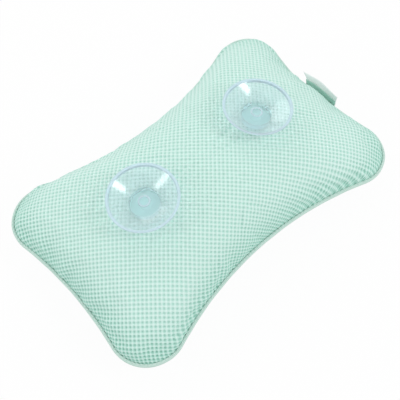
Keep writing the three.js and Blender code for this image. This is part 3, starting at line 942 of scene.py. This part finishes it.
def suction_cup(name, cup):
    """Clear dish and hub with a painted highlight on their edges, and the frosted underside, neck and knob.
    """
    section = dish_section()
    dish, dish_quads, dish_fans = capped_rings(turned(cup, section, CUP_STEPS))
    knob, knob_quads, knob_fans = capped_rings(turned(cup, knob_section(), CUP_STEPS))
    points = np.concatenate([dish, knob])
    quads = np.concatenate([dish_quads, knob_quads + len(dish)])
    fans = np.concatenate([dish_fans, knob_fans + len(dish)])
    dish_finish = np.repeat(dish_finishes(section)[1:-1], CUP_STEPS)
    finish = np.concatenate([dish_finish, [CLEAR, FROSTED], np.full(len(knob), FROSTED)])
    first_points = np.concatenate([quads[:, 0], fans[:, 0]])
    return new_piece(name, points, quads, fans, finishes=finish[first_points])


cups = {}
for cup in CUP_SIDES:
    cups[cup] = suction_cup(f"{cup}_cup", cup)
    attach(cups[cup], f"{cup}_cup")
    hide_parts(f"suction_cup_{cup}")
    report_piece(cups[cup])

# %% [markdown]
# ## The label
# The label is a piece of white satin ribbon folded in two, with both ends caught in the seam, and a strip
# of the mint tape covers its root. Both bend outwards from the seam as they rise. The ribbon is a path up
# one layer, round the fold and down the other, carried across the label's width and given its thickness.
# A free ribbon never lies straight: its middle bows out, and the corner over a gathered root flares.

# %% Paths of the label's strips
LABEL_LENGTH = 11 * MM
RIBBON_T = 0.28 * MM
RIBBON_GAP = 0.3 * MM  # between its two layers
RIBBON_STEPS = 20  # up each layer
FOLD_STEPS = 9
ROOT_ANGLE = math.radians(90)  # above level
TIP_ANGLE = math.radians(76)


def label_path(length, offset):
    """Points at an offset from an arc that leaves the root at one angle and ends at another."""
    angle = ROOT_ANGLE - (ROOT_ANGLE - TIP_ANGLE) * length / LABEL_LENGTH
    radius = LABEL_LENGTH / (ROOT_ANGLE - TIP_ANGLE)
    x = radius * (math.sin(ROOT_ANGLE) - np.sin(angle))
    z = radius * (np.cos(angle) - math.cos(ROOT_ANGLE))
    normal = np.stack([np.sin(angle), -np.cos(angle)], axis=-1)
    return np.stack([x, z], axis=-1) + np.asarray(offset)[..., None] * normal


def ribbon_path():
    """The folded ribbon's path: up the outer layer, half a turn round the fold, and down the inner one."""
    gap = (RIBBON_GAP + RIBBON_T) / 2
    up = np.linspace(0, LABEL_LENGTH - gap, RIBBON_STEPS)
    turn = np.linspace(0, math.pi, FOLD_STEPS)[1:-1]
    length = np.concatenate([up, LABEL_LENGTH - gap + gap * np.sin(turn), up[::-1]])
    offset = np.concatenate([np.full(RIBBON_STEPS, gap), gap * np.cos(turn), np.full(RIBBON_STEPS, -gap)])
    return label_path(length, offset), length


ribbon, ribbon_length = ribbon_path()
print(f"ribbon: {len(ribbon)} points up, round the fold and down")

# %% Strips of the label
LABEL_ROOT = np.array(next(row for row in frame["joints"] if row["name"] == "label_flap")["pos_m"])
LABEL_WIDTH = 40 * MM
LABEL_COLUMNS = 41
LABEL_BOW = 1.8 * MM  # of the middle of its free edge
LABEL_GATHER = 6 * MM
GATHER_START = 2 * MM  # from the middle of the label
LABEL_FLARE = 1 * MM
LABEL_PULL = 1 * MM  # inwards at the root of the other side
PULL_START = 8 * MM  # from the middle of the label
LABEL_RIPPLE = 0.3 * MM
RIPPLE_TURN = 9  # radians across the label
RIPPLE_START = 1  # radians
TAPE_LENGTH = 6.5 * MM
TAPE_T = 0.7 * MM
TAPE_OFFSET = -1.1 * MM  # of its middle from the label's, towards the pillow
TAPE_STEPS = 14


def rim_shift(across):
    """How far along X the uneven edge lies from the even one where the label is sewn in."""
    place = np.stack([np.full_like(across, WAIST_X), across], axis=-1)
    return uneven(place)[:, 0] - WAIST_X


def carried_across(name, path, length, thickness):
    """A path in the label's own plane, carried across its width and closed to a slab. The middle of its
    free edge bows out, one side is gathered at the seam, and the corner above that side flares."""
    across = np.linspace(-LABEL_WIDTH / 2, LABEL_WIDTH / 2, LABEL_COLUMNS)
    normal = unit(clockwise(np.gradient(path, axis=0)))
    share = (length / LABEL_LENGTH)[:, None]
    middle = 1 - (2 * across / LABEL_WIDTH)[None, :] ** 2
    gathered = smooth_step(across, GATHER_START, LABEL_WIDTH / 2)[None, :]
    other_side = smooth_step(-across, PULL_START, LABEL_WIDTH / 2)[None, :]
    ripple = np.sin(across / LABEL_WIDTH * RIPPLE_TURN + RIPPLE_START)[None, :]
    out = rim_shift(across)[None, :] + share**2 * (LABEL_BOW * middle + LABEL_RIPPLE * ripple)
    aside = gathered * (share**3 * (LABEL_GATHER + LABEL_FLARE) - LABEL_GATHER)
    aside = aside - other_side * (1 - share) * LABEL_PULL
    faces = []
    for offset in (thickness / 2, -thickness / 2):
        plane = path + offset * normal
        x = LABEL_ROOT[0] + plane[:, :1] + out
        y = across[None, :] + aside
        z = LABEL_ROOT[2] + plane[:, 1:]
        faces.append(np.stack(np.broadcast_arrays(x, y, z), axis=-1))
    loop = np.concatenate([faces[0], faces[1][::-1]])
    rows, columns = loop.shape[:2]
    quads = grid_quads(rows, columns, wrap_rows=True)
    step = np.arange(rows // 2 - 1)
    end = np.stack([step, step + 1, rows - 2 - step, rows - 1 - step], axis=-1) * columns
    quads = np.concatenate([quads, end[:, ::-1], end + columns - 1])
    both_faces = np.concatenate([length, length[::-1]])[:, None]
    uv = np.stack(np.broadcast_arrays(across[None, :], both_faces), axis=-1)
    return new_piece(name, loop, quads[:, ::-1], uv=uv)


label_ribbon = carried_across("label_ribbon", ribbon, ribbon_length, RIBBON_T)
tape_length = np.linspace(0, TAPE_LENGTH, TAPE_STEPS)
tape_path = label_path(tape_length, np.full(TAPE_STEPS, TAPE_OFFSET))
label_root_tape = carried_across("label_root_tape", tape_path, tape_length, TAPE_T)
report_piece(label_ribbon)
report_piece(label_root_tape)

# %% Label held by the seam
label_strips = ((label_ribbon, "side_label", "label_satin"),
                (label_root_tape, "label_tape", "binding_tape"))
for strip, node, slot in label_strips:
    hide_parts(node)
    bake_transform(strip)

# %% [markdown]
# ## Inside the cover
# Under the mesh are an inner bag of thin cloth in two halves, its fibre filling, and a round patch under
# each cup that keeps the neck from tearing out. They are seen only when the cover is opened, but each is
# a soft form of its own: the cover's face moved inwards by its depth, with a hollow where a knob presses
# into it.

# %% Layers under the cover
BAG_DEPTH = 3.6 * MM
BAG_T = 0.8 * MM
BAG_LEVEL = 0.15 * MM
FILL_DEPTH = 5 * MM
LAYER_RINGS = 40
LAYER_SPOKES = 160
KNOB_FLOOR = 11.6 * MM  # radius of the hollow round a knob
KNOB_MOUTH = 16.6 * MM
KNOB_DEPTH = 11.1 * MM
PATCH_CLEAR = 4.9 * MM
HOLLOW_ROUND = 1 * MM
HOLLOW_FREE = 3 * PANEL_T  # a limit so high that it no longer presses


def knob_pressed(points, growth):
    """Points held down along each cup's axis: level under the knob, rising to the patch, then free."""
    for name in CUP_SIDES:
        distance, height = cup_coordinates(points, name)
        radii = (KNOB_FLOOR + growth, KNOB_MOUTH + growth, KNOB_MOUTH + growth + PANEL_T)
        limit = np.interp(distance, radii, (-KNOB_DEPTH - growth, -PATCH_CLEAR - growth, HOLLOW_FREE))
        lowered = soft_min(height, limit, HOLLOW_ROUND) - height
        lowered = np.where(points[..., 2] > SEAM_HEIGHT, lowered, 0)
        points = points + lowered[..., None] * cup_frame(name)[1]
    return points


def layer_rows(side, depth, level, growth):
    """Rings of a layer from its middle to the seam: the face moved in by a depth, then one level ring."""
    share, angle = polar_grid(LAYER_RINGS, LAYER_SPOKES)
    rows = face_points(share, angle, side) - depth * difference_normals(face_points, share, angle, side)
    rows[0] = face_points(np.zeros(1), np.zeros(1), side) - (0, 0, side * depth)
    if side > 0:
        rows = knob_pressed(rows, growth)
    last = rows[-1:].copy()
    last[..., 2] = SEAM_HEIGHT + side * level
    return np.concatenate([rows, last])


print("top of the bag:", layer_rows(1, BAG_DEPTH, BAG_LEVEL, 0)[0, 0])

# %% Inner bag


def bag_half(name, side):
    """A half of the inner bag: an outer and an inner layer that meet at the seam."""
    outer = layer_rows(side, BAG_DEPTH, BAG_LEVEL, 0)
    inner = layer_rows(side, BAG_DEPTH + BAG_T, BAG_LEVEL, BAG_T)
    rows = np.concatenate([outer, inner[::-1]])
    return new_piece(name, *capped_rings(rows[::side]))


for side, name in ((1, "back"), (-1, "front")):
    bag = bag_half(f"inner_bag_{name}", side)
    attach(bag, "cover")
    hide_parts(f"liner_{name}")
    report_piece(bag)

# %% Fibre filling
LUMP_DEPTH = 1.6 * MM
LUMP_TURNS = (5, 9, 14)
FILL_CLEAR = 0.6 * MM  # from the bag, in the hollows round the knobs


def stuffing():
    """The filling: both halves' layers in one closed form, dented by slow waves round and along it."""
    back = layer_rows(1, FILL_DEPTH, 0, BAG_T + FILL_CLEAR)
    front = layer_rows(-1, FILL_DEPTH, 0, 0)
    rows = np.concatenate([back, front[-2::-1]])
    turn = whole_turn(LAYER_SPOKES)[None, :]
    down = np.linspace(0, math.pi, len(rows))[:, None]
    waves = sum(np.sin(k * turn + 2 * k * down) * np.sin((k - 2) * down) for k in LUMP_TURNS)
    outwards = unit(rows - np.array([0, 0, SEAM_HEIGHT]))
    dent = LUMP_DEPTH * (0.5 + 0.5 * waves / len(LUMP_TURNS)) * np.sin(down)
    return new_piece("fibre_body", *capped_rings(rows - dent[..., None] * outwards))


fibre_body = stuffing()
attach(fibre_body, "cover")
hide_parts("fibre_fill")
report_piece(fibre_body)

# %% Patches under the cups
PATCH_RADIUS = 15 * MM
PATCH_HOLE = 4.9 * MM
PATCH_TOP = -3.3 * MM
PATCH_BOTTOM = -4.3 * MM
PATCH_CUT = 0.4 * MM
PATCH_CUT_STEPS = 4
PATCH_STEPS = 72


def cup_patch(cup):
    """A flat ring with soft edges: its section, from the hole outwards, carried round the cup's axis."""
    corners = [(PATCH_HOLE, PATCH_TOP), (PATCH_RADIUS, PATCH_TOP), (PATCH_RADIUS, PATCH_BOTTOM),
               (PATCH_HOLE, PATCH_BOTTOM)]
    section = soften(corners, PATCH_CUT, PATCH_CUT_STEPS)
    quads = grid_quads(len(section), PATCH_STEPS, wrap_rows=True, wrap_columns=True)
    return new_piece(f"{cup}_patch", turned(cup, section, PATCH_STEPS), quads)


patches = [cup_patch(cup) for cup in CUP_SIDES]
for cup, patch in zip(CUP_SIDES, patches):
    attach(patch, "cover")
    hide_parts(f"cup_patch_{cup}")
    report_piece(patch)

# %% [markdown]
# ## Materials
# Colours are written as they look, in sRGB, and one function turns them into the linear values that the
# renderer wants. One more function adds a node with its settings and its inputs, so that every material
# below reads as a short list. Pattern sizes are in millimetres, turned into the scale of a texture.

# %% Material helpers
SHARE, AT_0, AT_1, MIXED = 0, 6, 7, 2  # sockets of a Mix node of colours, whose names are not unique


def linear(colour):
    """Linear values of an sRGB hex colour: a straight part near black, and a power of 2.4 above it."""
    channels = np.array([int(colour[k:k + 2], 16) for k in (0, 2, 4)]) / 255
    values = np.where(channels <= 0.04045, channels / 12.92, ((channels + 0.055) / 1.055) ** 2.4)
    return (*values.tolist(), 1.0)


def add_node(tree, kind, inputs=None, **settings):
    """Adds a node with its settings. Each input is a value, or another node's socket that feeds it."""
    node = tree.nodes.new(kind)
    for key, value in settings.items():
        setattr(node, key, value)
    for key, value in (inputs or {}).items():
        if isinstance(value, bpy.types.NodeSocket):
            tree.links.new(value, node.inputs[key])
        else:
            node.inputs[key].default_value = value
    return node


def new_material(name, **values):
    """A material with the standard shader, whose sockets are set by name with _ for a space."""
    material = bpy.data.materials.new(name)
    material.use_nodes = True
    shader = material.node_tree.nodes["Principled BSDF"]
    for key, value in values.items():
        shader.inputs[key.replace("_", " ")].default_value = value
    return material, material.node_tree, shader


def dress(material, *pieces):
    """Gives pieces a material, after any that they have from here already."""
    for piece in pieces:
        if piece.name in frame["nodes"]:
            piece.data.materials.clear()
        piece.data.materials.append(material)
    print(material.name, "on", ", ".join(piece.name for piece in pieces))


print("mint, in linear values:", linear("c5e9dd"))

# %% [markdown]
# ### Polyester spacer mesh
# Warp-knitted polyester: soft, matt and a little fuzzy. The knots between four holes are painted paler, a
# painted highlight where the yarns of the face catch the light. The ground at the bottom of the holes is
# deeper in colour, and the walls of the holes take on that colour with depth, which is painted shade in the
# holes. The sunk attribute of the cells gives both. Towards the seam the cloth is painted deeper in colour
# altogether, yarn and ground alike, as painted shade along the seam. Slow noise stands for uneven dyeing,
# and fine noise for the loops of the yarn.

# %% Polyester spacer mesh
YARN = linear("c8ebe1")
PALE_YARN = linear("cfeee6")
# painted highlight on the knots between four holes
KNOT_HIGHLIGHT = linear("e0f6f0")
# the ground's own deeper colour; carried up the walls of the holes by depth, it is also painted shade
GROUND = linear("bde3d8")
# painted shade: deeper yarn and ground colours for the cloth near the seam
SHADED_SEAM_YARN = linear("aee1d2")
SHADED_SEAM_GROUND = linear("98c5b7")
SEAM_SHADE_FADE = 1.5  # power by which the yarn's painted seam shade fades away from the seam
DYE_PATCH = 60 * MM
YARN_LOOP = 0.5 * MM


def spacer_mesh_material():
    """Five colours, each mixed over the last by its own share: yarn, paler by slow noise, deeper near the
    seam as painted shade, paler on the knots as a painted highlight, and the ground's deeper colour in the
    holes, carried up their walls as painted shade. Fine noise gives a relief."""
    material, tree, shader = new_material("polyester_spacer_mesh", Roughness=0.85, Sheen_Weight=0.2,
                                          Specular_IOR_Level=0.25)
    place = add_node(tree, "ShaderNodeTexCoord").outputs["Object"]
    sunk = add_node(tree, "ShaderNodeAttribute", attribute_name="sunk").outputs["Fac"]
    # share of painted shade near the seam
    drawn = add_node(tree, "ShaderNodeAttribute", attribute_name="seam_shade_share").outputs["Fac"]
    dye = add_node(tree, "ShaderNodeTexNoise", {"Vector": place, "Scale": 1 / DYE_PATCH}).outputs["Fac"]
    loops = add_node(tree, "ShaderNodeTexNoise", {"Vector": place, "Scale": 1 / YARN_LOOP}).outputs["Fac"]
    # the yarn's share of the painted seam shade
    close = add_node(tree, "ShaderNodeMath", {0: drawn, 1: SEAM_SHADE_FADE}, operation="POWER").outputs[0]
    # painted highlight: 1 on the knots, falling to 0 at the lips of the holes
    on_knot_highlight = {"Value": sunk, "From Max": LIP_DEPTH / FLOOR_DEPTH, "To Min": 1.0, "To Max": 0.0}
    knot_highlight = add_node(tree, "ShaderNodeMapRange", on_knot_highlight).outputs[0]
    # the ground, painted deeper near the seam as shade
    grounds = {SHARE: drawn, AT_0: GROUND, AT_1: SHADED_SEAM_GROUND}
    ground = add_node(tree, "ShaderNodeMix", grounds, data_type="RGBA").outputs[MIXED]
    colour = YARN
    # the last share, sunk, carries the ground's colour up the holes' walls: painted shade in the holes
    for share, over in ((dye, PALE_YARN), (close, SHADED_SEAM_YARN), (knot_highlight, KNOT_HIGHLIGHT), (sunk, ground)):
        colours = {SHARE: share, AT_0: colour, AT_1: over}
        colour = add_node(tree, "ShaderNodeMix", colours, data_type="RGBA").outputs[MIXED]
    bump = add_node(tree, "ShaderNodeBump", {"Height": loops, "Strength": 0.35, "Distance": 0.2 * MM})
    tree.links.new(colour, shader.inputs["Base Color"])
    tree.links.new(bump.outputs["Normal"], shader.inputs["Normal"])
    return material


dress(spacer_mesh_material(), back_mesh, front_mesh)

# %% [markdown]
# ### Woven tape and polyester thread
# The binding is a narrow plain-woven tape in the same mint, slightly paler. The label's root is covered
# with a deeper mint tape, whose deeper colour is painted shade for the crevice between the label and the
# pillow. Their ribs run across the tape, about three to a millimetre; they are drawn at half a millimetre
# so that they show. The thread is twisted and has a low shine.

# %% Woven tape and polyester thread
TAPE_RIB = 0.5 * MM
WAVE_TURN = 20  # radians that a wave texture turns for each unit of length, at a scale of 1
THREAD_PLY = 0.4 * MM


def woven_tape_material(name, dark, light):
    """Ribs across the tape from waves along its length, raised, with painted shade in their hollows."""
    material, tree, shader = new_material(name, Roughness=0.75, Sheen_Weight=0.15, Specular_IOR_Level=0.3)
    place = add_node(tree, "ShaderNodeUVMap", uv_map="UVMap").outputs["UV"]
    scale = 2 * math.pi / (WAVE_TURN * TAPE_RIB)
    ribs = {"Vector": place, "Scale": scale, "Distortion": 1.5}
    rib = add_node(tree, "ShaderNodeTexWave", ribs).outputs["Fac"]
    shades = {SHARE: rib, AT_0: linear(dark), AT_1: linear(light)}
    colour = add_node(tree, "ShaderNodeMix", shades, data_type="RGBA").outputs[MIXED]
    bump = add_node(tree, "ShaderNodeBump", {"Height": rib, "Strength": 0.4, "Distance": 0.15 * MM})
    tree.links.new(colour, shader.inputs["Base Color"])
    tree.links.new(bump.outputs["Normal"], shader.inputs["Normal"])
    return material


def thread_material():
    """Plies of a twisted thread from fine noise."""
    material, tree, shader = new_material("twisted_polyester_thread", Roughness=0.55,
                                          Base_Color=linear("dceee8"))
    place = add_node(tree, "ShaderNodeTexCoord").outputs["Object"]
    plies = add_node(tree, "ShaderNodeTexNoise", {"Vector": place, "Scale": 1 / THREAD_PLY}).outputs["Fac"]
    bump = add_node(tree, "ShaderNodeBump", {"Height": plies, "Strength": 0.5, "Distance": 0.1 * MM})
    tree.links.new(bump.outputs["Normal"], shader.inputs["Normal"])
    return material


dress(woven_tape_material("woven_polyester_tape", "bedcd1", "cfe7de"), edge_tape)
# the label's root tape is painted a deeper mint: painted shade in the crevice under the label
dress(woven_tape_material("mint_tape_painted_shade", "b2d9cc", "c0e2d7"), label_root_tape)
dress(thread_material(), *stitch_rows)

# %% [markdown]
# ### Clear soft vinyl
# The cups are moulded in clear plasticised PVC with a faint blue tint, which hides its natural yellow. It
# bends and reflects light like glass but its skin is a touch softer, and a slow waviness is left by the
# mould. The rim's land and the small ring in the hub are paler and less clear: a painted highlight for the
# light that thin edges gather. The hub's underside, the neck and the knob don't have to grip, and come
# frosted from a dull part of the mould.

# %% Clear soft vinyl
MOULD_WAVE = 9 * MM
TINT = "a0dce6"
TINT_DENSITY = 12  # in a metre
THIN_IOR = 1.17  # vinyl has about 1.5, but this keeps the mesh seen through a thin dish in its place


def vinyl_material(name, tint, **values):
    """Clear shader with slow noise for the mould's waviness, and a tint, if any, by thickness."""
    material, tree, shader = new_material(name, **values)
    place = add_node(tree, "ShaderNodeTexCoord").outputs["Object"]
    wave = add_node(tree, "ShaderNodeTexNoise", {"Vector": place, "Scale": 1 / MOULD_WAVE}).outputs["Fac"]
    bump = add_node(tree, "ShaderNodeBump", {"Height": wave, "Strength": 0.2, "Distance": 0.4 * MM})
    tree.links.new(bump.outputs["Normal"], shader.inputs["Normal"])
    if tint:
        inside = {"Color": linear(tint), "Density": TINT_DENSITY}
        depth = add_node(tree, "ShaderNodeVolumeAbsorption", inside)
        tree.links.new(depth.outputs[0], tree.nodes["Material Output"].inputs["Volume"])
    return material


vinyl = {
    CLEAR: vinyl_material("clear_soft_vinyl", TINT, Base_Color=linear("f3fbff"), Roughness=0.04,
                          IOR=THIN_IOR, Transmission_Weight=0.94, Coat_Weight=1.0, Coat_Roughness=0.16,
                          Coat_IOR=1.65),
    # a painted highlight: paler, less clear vinyl on the rim's land and the hub's ring
    PALE_HIGHLIGHT: vinyl_material("vinyl_edge_painted_highlight", TINT, Base_Color=linear("daf2fb"), Roughness=0.15, IOR=THIN_IOR,
                         Transmission_Weight=0.35, Coat_Weight=1.0, Coat_Roughness=0.16),
    FROSTED: vinyl_material("frosted_soft_vinyl", None, Base_Color=linear("d8fdf8"), Roughness=0.5, IOR=1.3,
                            Transmission_Weight=0.12),
}
for finish in (CLEAR, PALE_HIGHLIGHT, FROSTED):
    dress(vinyl[finish], *cups.values())

# %% [markdown]
# ### Satin ribbon, bag cloth, fibre, patches and washers
# The label is white polyester satin, smooth with a soft shine. The inner bag is spunbonded cloth, pressed
# with fine dimples, the filling is crimped fibre, the patches are plain cloth and the washers are moulded
# polypropylene.

# %% The other finishes


def grained_material(name, dark, light, grain, strength, depth, **values):
    """Two close colours and a relief from one noise of a given grain size."""
    material, tree, shader = new_material(name, **values)
    place = add_node(tree, "ShaderNodeTexCoord").outputs["Object"]
    grains = {"Vector": place, "Scale": 1 / grain, "Detail": 4}
    noise = add_node(tree, "ShaderNodeTexNoise", grains).outputs["Fac"]
    shades = {SHARE: noise, AT_0: linear(dark), AT_1: linear(light)}
    colour = add_node(tree, "ShaderNodeMix", shades, data_type="RGBA").outputs[MIXED]
    bump = add_node(tree, "ShaderNodeBump", {"Height": noise, "Strength": strength, "Distance": depth})
    tree.links.new(colour, shader.inputs["Base Color"])
    tree.links.new(bump.outputs["Normal"], shader.inputs["Normal"])
    return material


satin = grained_material("white_polyester_satin", "f4f6f5", "fbfcfc", grain=1.2 * MM, strength=0.15,
                         depth=0.1 * MM, Roughness=0.45)
bag_cloth = grained_material("spunbonded_cloth", "e8ece8", "f4f6f3", grain=1.5 * MM, strength=0.4,
                             depth=0.2 * MM, Roughness=0.9)
fibre = grained_material("crimped_polyester_fibre", "eef0ee", "fafaf8", grain=3 * MM, strength=0.8,
                         depth=0.8 * MM, Roughness=0.95)
patch_cloth = grained_material("woven_patch_cloth", "b4dccf", "cdeee2", grain=0.6 * MM, strength=0.4,
                               depth=0.2 * MM, Roughness=0.85)
washer = grained_material("moulded_polypropylene", "e3eae9", "edf3f2", grain=4 * MM, strength=0.1,
                          depth=0.1 * MM, Roughness=0.4)

dress(satin, label_ribbon)
dress(bag_cloth, bpy.data.objects["inner_bag_back"], bpy.data.objects["inner_bag_front"])
dress(fibre, fibre_body)
dress(patch_cloth, *patches)
dress(washer, *[frame["nodes"][f"cup_washer_{cup}"] for cup in CUP_SIDES])

# %% [markdown]
# ## Floor and light
# The photograph has a white ground and very soft light. The floor is a large pale sheet that still takes
# the pillow's shadow; to the camera, and in reflections, most of it is plain white. Two soft boxes stand
# where the bright wedges in the cups ask for them, a large one behind the pillow models its back, and the
# white world gives the rest.

# %% Floor
FLOOR_SIZE = 6  # metres
FLOOR_WHITE = 0.95  # share of plain white in what the camera sees
FLOOR_GAP = 0.3 * MM


def seen_directly(tree):
    """1 for rays from the camera and those that a shiny or clear surface sends on."""
    path = add_node(tree, "ShaderNodeLightPath")
    total = path.outputs["Is Camera Ray"]
    for ray in ("Is Glossy Ray", "Is Transmission Ray"):
        either = {0: total, 1: path.outputs[ray]}
        total = add_node(tree, "ShaderNodeMath", either, operation="MAXIMUM").outputs[0]
    return total


def white_floor():
    """One large square just under the pillow."""
    half = FLOOR_SIZE / 2
    square = ((-half, -half), (half, -half), (half, half), (-half, half))
    corners = [(x, y, -FLOOR_GAP) for x, y in square]
    floor = new_piece("floor", corners, [(0, 1, 2, 3)])
    material = bpy.data.materials.new("white_paper")
    material.use_nodes = True
    tree = material.node_tree
    paper = add_node(tree, "ShaderNodeBsdfDiffuse", {"Color": linear("f2f2f2")}).outputs[0]
    white = add_node(tree, "ShaderNodeEmission", {"Color": (1, 1, 1, 1), "Strength": 1.0}).outputs[0]
    seen = {0: seen_directly(tree), 1: FLOOR_WHITE}
    share = add_node(tree, "ShaderNodeMath", seen, operation="MULTIPLY").outputs[0]
    mixed = add_node(tree, "ShaderNodeMixShader", {0: share, 1: paper, 2: white})
    tree.links.new(mixed.outputs[0], tree.nodes["Material Output"].inputs["Surface"])
    dress(material, floor)


white_floor()

# %% Lamps and world
LAMP_DISTANCE = 1.3  # metres
WORLD_FILL = 0.755  # strength of the world where it only lights


def soft_box(name, azimuth, elevation, width, height, power):
    """An upright oblong lamp in a direction from the pillow, facing its middle."""
    a, e = math.radians(azimuth), math.radians(elevation)
    towards = Vector((math.sin(a) * math.cos(e), -math.cos(a) * math.cos(e), math.sin(e)))
    data = bpy.data.lights.new(name, "AREA")
    data.shape = "RECTANGLE"
    data.size, data.size_y = width, height
    data.energy = power
    lamp = bpy.data.objects.new(name, data)
    lamp.rotation_euler = towards.to_track_quat("Z", "Y").to_euler()
    lamp.location = Vector((0, 0, SEAM_HEIGHT)) + towards * LAMP_DISTANCE
    bpy.context.scene.collection.objects.link(lamp)
    print(f"{name}: {power} W")


def white_world():
    """A white world: full strength where it is seen, and a fill where it only lights."""
    world = bpy.data.worlds.new("white_world")
    bpy.context.scene.world = world
    world.use_nodes = True
    tree = world.node_tree
    strengths = {0: seen_directly(tree), 2: WORLD_FILL, 3: 1.0}  # the share, and two plain numbers to mix
    strength = add_node(tree, "ShaderNodeMix", strengths).outputs[0]
    background = tree.nodes["Background"]
    background.inputs["Color"].default_value = (1, 1, 1, 1)
    tree.links.new(strength, background.inputs["Strength"])


soft_box("soft_box_right", azimuth=30, elevation=47, width=0.24, height=0.66, power=3.3)
soft_box("soft_box_left", azimuth=-111, elevation=36, width=0.24, height=0.66, power=1.7)
soft_box("soft_box_behind", azimuth=170, elevation=36, width=1.0, height=1.0, power=3.0)
white_world()
bpy.context.scene.view_settings.view_transform = "Standard"
